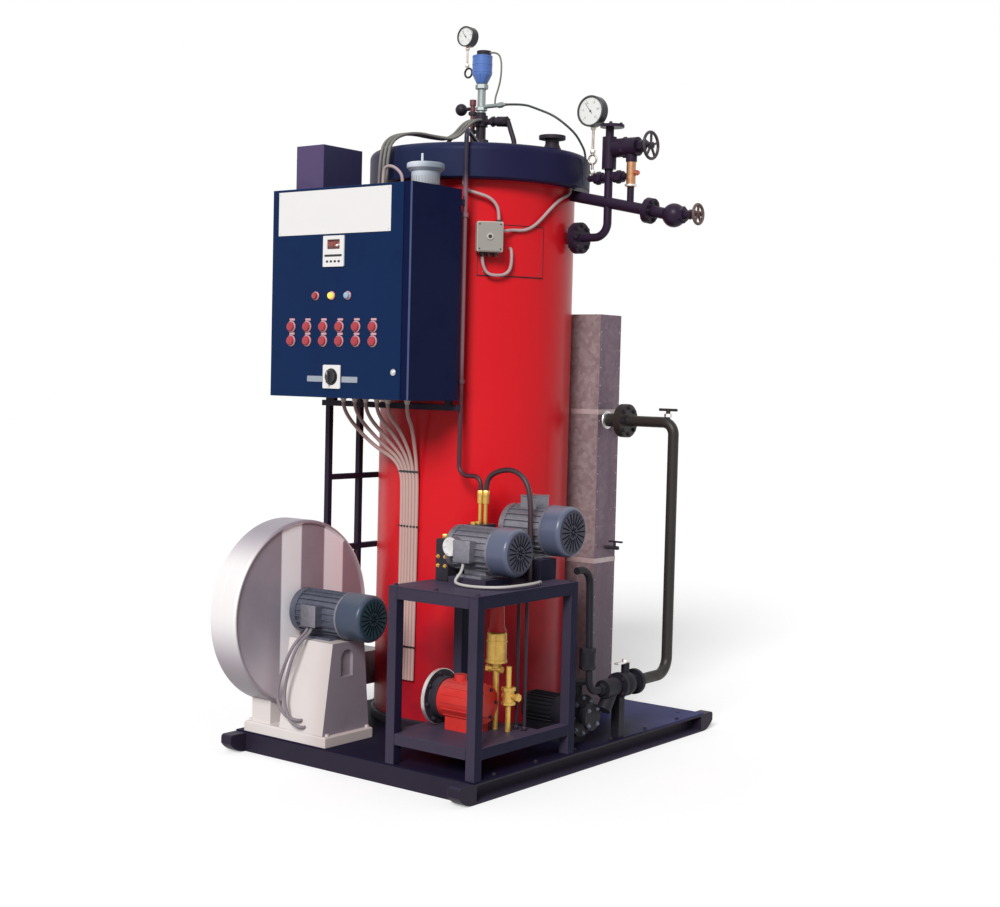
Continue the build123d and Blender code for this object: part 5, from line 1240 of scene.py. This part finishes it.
def blower():
    """Spun drum with its hub, pedestal with the hand hole, plinth and duct."""
    dressed("blower_drum", "drum_steel", 0.0015)
    dressed("blower_inlet_ring", "drum_steel", 0.0015)
    dressed("blower_plinth", "plinth_cream", 0.0015)
    dressed("air_duct", bevel=0.0015)
    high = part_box("blower_pedestal")[1]
    # Its +X side gets the darker copy of the paint: painted shade.
    dressed("blower_pedestal", "plinth_cream", 0.0015, (
        ("pedestal_shaded_side", lambda at, normal: normal.x > 0.7 and at.x > high.x - 0.001),
        ("pedestal_hole", lambda at, normal: at.x > high.x - 0.02 and at.x < high.x - 0.0005
         and abs(at.z - 0.41) < 0.09)))
    drum_low, drum_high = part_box("blower_drum")
    centre = Vector((drum_high.x - 0.030, (drum_low.y + drum_high.y) / 2, (drum_low.z + drum_high.z) / 2))
    hub = joined(turned([(0.022, 0.011), (0.040, 0.0112), (0.0415, 0.0125), (0.030, 0.018), (0.024, 0.022),
                         (0.022, 0.022)], centre, RIGHT),
                 bolt_ring(centre + Vector((0.011, 0, 0)), RIGHT, 6, 0.033, 0.008))
    piece("drum_hub", hub, "dark_steel")
    seam = hoop(0.3945, 0.3953, -0.004, 0.004, 0.001, (drum_low.x, centre.y, centre.z), RIGHT, 96)
    piece("drum_seam", seam, "drum_steel")
    foot_bolts = [hexagon(0.016, 0.010, (x, y, 0.129), UP) for x in (-0.59, -0.145) for y in (-0.82, -0.58)]
    piece("plinth_bolts", joined(*foot_bolts), "plinth_cream")


def pump_frame():
    """Frame, plates and the set of pumps in and on it."""
    # Faces that look to +X get the darker copy of the paint: painted shade.
    shade = (("frame_painted_shade", lambda at, normal: normal.x > 0.7),)
    dressed("frame_posts", bevel=0.003, tints=shade)
    dressed("frame_rails", bevel=0.003, tints=shade)
    dressed("frame_plates", bevel=0.0015, tints=shade)
    dressed("water_pump", "casting_dark", 0.003)
    low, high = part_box("frame_plates")
    heads = [row_of(bolt_head(0.013), count, (step, 0.0), (low.x + 0.020, y, frame_top), UP)
             for count, step, y in ((3, 0.205, low.y + 0.022), (2, 0.410, high.y - 0.022))]
    piece("frame_bolts", joined(*heads), "frame_paint")
    pump_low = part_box("water_pump")[0]
    caps = [hexagon(0.022, 0.016, (pump_low.x + across, pump_low.y + 0.050 * step + 0.035, 0.960), UP)
            for across in (0.020, 0.046) for step in range(3)]
    caps += [hexagon(0.022, 0.012, (pump_low.x + 0.036, -0.405 + 0.03 * step, 1.005), UP)
             for step in range(2)]
    caps.append(bolt_ring((pump_low.x + 0.032, pump_low.y, 0.870), FRONT, 4, 0.026, 0.010, 0.785))
    piece("pump_caps", joined(*caps), "brass")


def fuel_set():
    """Fuel pump, its dark flange with a pale edge, and the brass filter and valves."""
    dressed("fuel_pump", "red_casting", 0.004)
    low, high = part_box("fuel_pump_flange")
    middle = (low + high) / 2
    dressed("fuel_pump_flange", "casting_dark", 0.003)
    edge = hoop(0.1105, 0.1128, 0.0, 0.016, 0.001, (low.x, middle.y, middle.z), RIGHT, 72)
    piece("flange_edge", edge, "white_metal")
    fuel_low, fuel_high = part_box("fuel_pump")
    studs = [bolt_ring((low.x + 0.016, middle.y, middle.z), RIGHT, 8, 0.098, 0.013, 0.2),
             bolt_ring((fuel_high.x, middle.y, middle.z), RIGHT, 6, 0.062, 0.010)]
    piece("fuel_bolts", joined(*studs), "casting_dark")
    ribs = ring_of(slab((-0.006, -0.003, 0.02), (0.0045, 0.003, 0.165)), 16, 0.0765,
                   (fuel_low.x, middle.y, middle.z), RIGHT)
    end_cap = turned([(0, 0), (0.050, 0), (0.052, -0.002), (0.052, -0.010)],
                     (fuel_high.x + 0.004, middle.y, middle.z), RIGHT)
    piece("fuel_ribs", joined(ribs, end_cap), "red_casting")
    dressed("brass_fittings", "brass", 0.0012, (("casting_dark", lambda at, normal: at.y > 0.2),))
    x, y = 0.481, -0.510
    details = [hexagon(0.050, 0.018, (x, y, 0.604), UP), hexagon(0.034, 0.022, (x, y, 0.456), UP),
               hoop(0.0395, 0.0430, 0.478, 0.491, 0.001, (x, y, 0), UP, 40),
               hoop(0.0395, 0.0422, 0.560, 0.569, 0.001, (x, y, 0), UP, 40),
               hexagon(0.050, 0.016, (0.545, y, 0.372), UP), hexagon(0.050, 0.014, (0.545, y, 0.316), UP),
               hexagon(0.030, 0.014, (0.585, y, 0.351), RIGHT),
               hexagon(0.030, 0.012, (0.447, y, 0.451), LEFT)]
    piece("filter_details", joined(*details), "brass")
    band = turned([(0.0402, 0.604), (0.0395, 0.606), (0.030, 0.622), (0.027, 0.700), (0.024, 0.784),
                   (0, 0.784)],
                  (x, y, 0), UP, 40)
    piece("filter_head", band, "red_casting")


def feed_pump():
    """Feed pump with its finned motor, the strainer and the rising pipe."""
    dressed("pump_parts", "casting_black", 0.002)
    x, y, z = 0.500, -0.040, 0.205
    fins = ring_of(slab((-0.004, -0.0016, 0.012), (0.009, 0.0016, 0.150)), 26, 0.0665, (x - 0.185, y, z),
                   RIGHT)
    studs = joined(bolt_ring((x + 0.085, y, z), RIGHT, 8, 0.074, 0.012),
                   bolt_ring((x + 0.134, y, z), RIGHT, 4, 0.044, 0.012, 0.785))
    piece("feed_pump_fins", fins, "casting_black")
    piece("feed_pump_bolts", studs, "motor_slate")
    nuts = [hexagon(0.060, 0.030, (0.640, -0.100, 0.415), UP),
            hexagon(0.060, 0.026, (0.640, -0.100, 0.480), UP),
            hexagon(0.044, 0.022, (0.652, 0.001, 0.320), FRONT)]
    piece("rise_nuts", joined(*nuts), "casting_black")


def economiser():
    """Weathered sheet box with folded seams and rivets, the feed pipe with its flange, vent and valve."""
    # Faces that look to +X get the darker copy of the sheet: painted shade.
    dressed("economiser_box", bevel=0.002, tints=(("sheet_shaded_side", lambda at, normal: normal.x > 0.7),))
    low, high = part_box("economiser_box")
    seams = []
    for z in (1.455, 0.780):
        seams.append(slab((high.x - 0.0005, low.y, z), (high.x + 0.0015, high.y, z + 0.022)))
        seams.append(slab((low.x, high.y - 0.0005, z), (high.x, high.y + 0.0015, z + 0.022)))
        seams.append(slab((high.x - 0.150, low.y - 0.0015, z), (high.x, low.y + 0.0005, z + 0.022)))
    for y in (low.y + 0.012, high.y - 0.012):
        seams.append(row_of(screw_head(0.003), 22, (0.0, 0.080), (high.x, y, low.z + 0.06), RIGHT))
    seams.append(row_of(screw_head(0.003), 5, (0.034, 0.0), (high.x + 0.0015, low.y + 0.017, 1.466), RIGHT))
    piece("box_seams", joined(*seams), "sheet_edge")
    dressed("feed_pipe", "pipe_olive", 0.001)
    dressed("feed_valve", "casting_black", 0.001)
    flange_x, y, z = high.x + 0.080, 0.505, 1.430
    studs = [bolt_ring((flange_x, y, z), LEFT, 8, 0.058, 0.014),
             bolt_ring((flange_x + 0.036, y, z), RIGHT, 8, 0.058, 0.014)]
    gap = hoop(0.0745, 0.0757, 0.0172, 0.0188, 0.0, (flange_x, y, z), RIGHT)
    valve_x, valve_y, valve_z = 0.652, 0.250, 0.320
    studs += [bolt_ring((valve_x, valve_y, valve_z), BACK, 4, 0.043, 0.012, 0.785),
              bolt_ring((valve_x, valve_y - 0.140, valve_z), FRONT, 4, 0.043, 0.012, 0.785)]
    piece("feed_bolts", joined(*studs), "dark_steel")
    piece("feed_gasket", gap, "black_plastic")
    collar = joined(turned([(0.0300, 0.0), (0.042, 0.0), (0.040, 0.004), (0.0300, 0.006)], (high.x, y, z),
                           RIGHT),
                    hexagon(0.030, 0.016, (0.622, y, 1.453), UP))
    piece("feed_collar", collar, "white_metal")
    wheel = hexagon(0.026, 0.010, (valve_x, valve_y - 0.080, 0.416), UP)
    lever = slab((0.640, valve_y - 0.150, 0.409), (0.664, valve_y - 0.060, 0.417), 0.002)
    piece("valve_lever", joined(wheel, lever), "white_metal")


def steam_side():
    """Steam outlet, riser, header, valves and handwheels."""
    dressed("steam_pipework", "pipe_plum", 0.001)
    dressed("steam_valves", "pipe_plum", 0.002)
    dressed("stop_valve_wheel", "wheel_dark", 0.0008)
    dressed("outlet_valve_wheel", "wheel_brown", 0.0008)
    dressed("safety_valve", "brass_red", 0.001)
    riser_x, y = 0.463, steam_y
    outlet_x, outlet_z = 0.316, 2.226
    way = Vector((0.360, 0.0, -0.074)).normalized()
    joint = Vector((0.628, y, 2.339)) + way * 0.035
    studs = [bolt_ring((outlet_x + 0.016, y, outlet_z), RIGHT, 8, 0.054, 0.014),
             bolt_ring((outlet_x - 0.016, y, outlet_z), LEFT, 8, 0.054, 0.014),
             bolt_ring((riser_x + 0.012, y, 2.704), UP, 4, 0.038, 0.012, 0.4),
             bolt_ring(joint + way * 0.028, way, 6, 0.042, 0.012), bolt_ring(joint, -way, 6, 0.042, 0.012)]
    piece("steam_bolts", joined(*studs), "dark_steel")
    outlet_at = Vector((0.796, y, 2.3045))
    nuts = [hexagon(0.050, 0.024, (x, y, 2.480), RIGHT) for x in (riser_x - 0.064, riser_x + 0.040)]
    nuts += [hexagon(0.078, 0.020, (riser_x + 0.070, y, 2.603), RIGHT),
             hexagon(0.046, 0.024, (riser_x + 0.150, y, 2.603), RIGHT),
             hexagon(0.062, 0.018, outlet_at + Vector((0.036, 0, 0)), RIGHT),
             hexagon(0.036, 0.014, outlet_at + Vector((0.072, 0, 0)), RIGHT)]
    piece("steam_nuts", joined(*nuts), "pipe_plum")
    x = riser_x + 0.114
    ring = turned([(0.0195, 2.436), (0.0262, 2.437), (0.0262, 2.444), (0.0195, 2.446), (0.0195, 2.436)],
                  (x, y, 0), UP, 32)
    piece("brass_ring", ring, "white_metal")
    boss = joined(puck(0.0115, 0.016, 0.002, (x + 0.018, y, 2.492), RIGHT, 24),
                  hexagon(0.016, 0.006, (x + 0.034, y, 2.492), RIGHT))
    piece("brass_boss", boss, "copper_red")


def gauge_face(name, at, radius, top):
    """White dial behind the rim: scale, figures, needle and hub."""
    front = Vector(at)
    dial = puck(radius * 0.872, 0.0008, 0.0002, front, FRONT, 64)
    piece(name + "_dial", dial, "dial_white")
    face = front + Vector((0, -0.0008, 0))
    long_bar = slab((-radius * 0.055, -0.0007, 0.0), (radius * 0.055, 0.0007, 0.0002))
    short_bar = slab((-radius * 0.025, -0.0004, 0.0), (radius * 0.025, 0.0004, 0.0002))
    start, sweep = math.radians(-45), math.radians(270)
    marks = [ring_of(long_bar, 6, radius * 0.76, face, FRONT, 0.0, start, sweep),
             ring_of(short_bar, 26, radius * 0.79, face, FRONT, 0.0, start, sweep)]
    for index in range(6):
        angle = math.radians(225 - 54 * index)
        spot = face + Vector((math.cos(angle), 0, math.sin(angle))) * radius * 0.57
        marks.append(lettering(str(index * top), radius * 0.19, spot, FRONT, 0.0001))
    piece(name + "_scale", joined(*marks), "ink_black")
    needle_outline = [(-0.0011, -radius * 0.22), (0.0011, -radius * 0.22), (0.0007, radius * 0.66),
                      (0, radius * 0.72), (-0.0007, radius * 0.66)]
    needle = joined(cut_out(needle_outline, 0.0012, face + Vector((0, -0.0004, 0)), turn=math.radians(38)),
                    puck(radius * 0.075, 0.0020, 0.0004, face, FRONT, 24))
    piece(name + "_needle", needle, "needle_grey")
    rim = turned([(radius * 0.885, 0.0), (radius * 0.90, 0.0020), (radius * 0.955, 0.0028),
                  (radius * 0.99, 0.0018),
                  (radius * 1.0, -0.002), (radius * 0.885, -0.002), (radius * 0.885, 0.0)],
                 (at[0], at[1] - 0.004, at[2]), FRONT, 72)
    piece(name + "_rim", rim, "rim_dark")


def gauges():
    """Two dial gauges on siphons."""
    dressed("pressure_gauges", "gauge_case", 0.0008, (
        ("stem_pale", lambda at, normal: at.x > 0.2 and at.z < 2.700),
        ("stem_pale", lambda at, normal: at.x < 0.2 and 2.985 < at.z < 3.075)))
    big_x, small_x = 0.377, -0.196
    gauge_face("big_gauge", (big_x, 0.194, 2.767), 0.067, 5)
    gauge_face("small_gauge", (small_x, 0.034, 3.119), 0.045, 2)
    nuts = [hexagon(0.020, 0.016, (big_x, steam_y, z), UP) for z in (2.500, 2.588, 2.690)]
    nuts += [hexagon(0.016, 0.014, (small_x, 0.050, z), UP) for z in (2.986, 3.060)]
    piece("gauge_nuts", joined(*nuts), "stem_pale")


def head_set():
    """Blue transmitter on its neck, and the small pipes and valves round it."""
    x, y = fit_x, fit_y
    dressed("transmitter", "blue_enamel", 0.002, (
        ("fitting_grey", lambda at, normal: at.z < 2.906 and abs(at.x - x) < 0.05),
        ("casting_dark", lambda at, normal: at.z > 3.0265),
        ("casting_dark", lambda at, normal: at.x < x - 0.045)))
    rings = [hoop(0.0435, 0.0452, z, z + 0.005, 0.001, (x, y, 0)) for z in (2.952, 2.985, 3.018)]
    piece("transmitter_rings", joined(*rings), "blue_enamel")
    nuts = [hexagon(0.050, 0.022, (x, y, 2.880), UP), hexagon(0.046, 0.018, (x, y, 2.785), UP),
            puck(0.010, 0.005, 0.002, (x + 0.008, y, 3.046), UP, 20)]
    piece("transmitter_nuts", joined(*nuts), "fitting_grey")
    side_x = x - 0.048
    dressed("head_fittings", "dark_steel", 0.0012, (
        ("pipe_red", lambda at, normal: abs(at.x - side_x) < 0.016 and at.z > 2.606),))
    pieces = [hexagon(0.034, 0.016, (side_x, y, z), UP) for z in (2.612, 2.690, 2.770)]
    pieces += [hexagon(0.040, 0.018, (x + 0.060, y, manifold_z - 0.006), RIGHT),
               hexagon(0.040, 0.014, (x + 0.136, y, manifold_z - 0.012), RIGHT),
               hexagon(0.060, 0.020, (x, y, 2.640), UP)]
    piece("fitting_nuts", joined(*pieces), "dark_steel")


floor()
light()
bpy.context.scene.view_settings.view_transform = "Standard"

for make in (skid, jacket, head, panel_door_pieces, display, lamps_and_buttons, main_switch, alarm,
             roof_box, junction_box, conduits, service_cables, hoses, stand_and_pipe, motors, blower,
             pump_frame, fuel_set, feed_pump, economiser, steam_side, gauges, head_set):
    make()
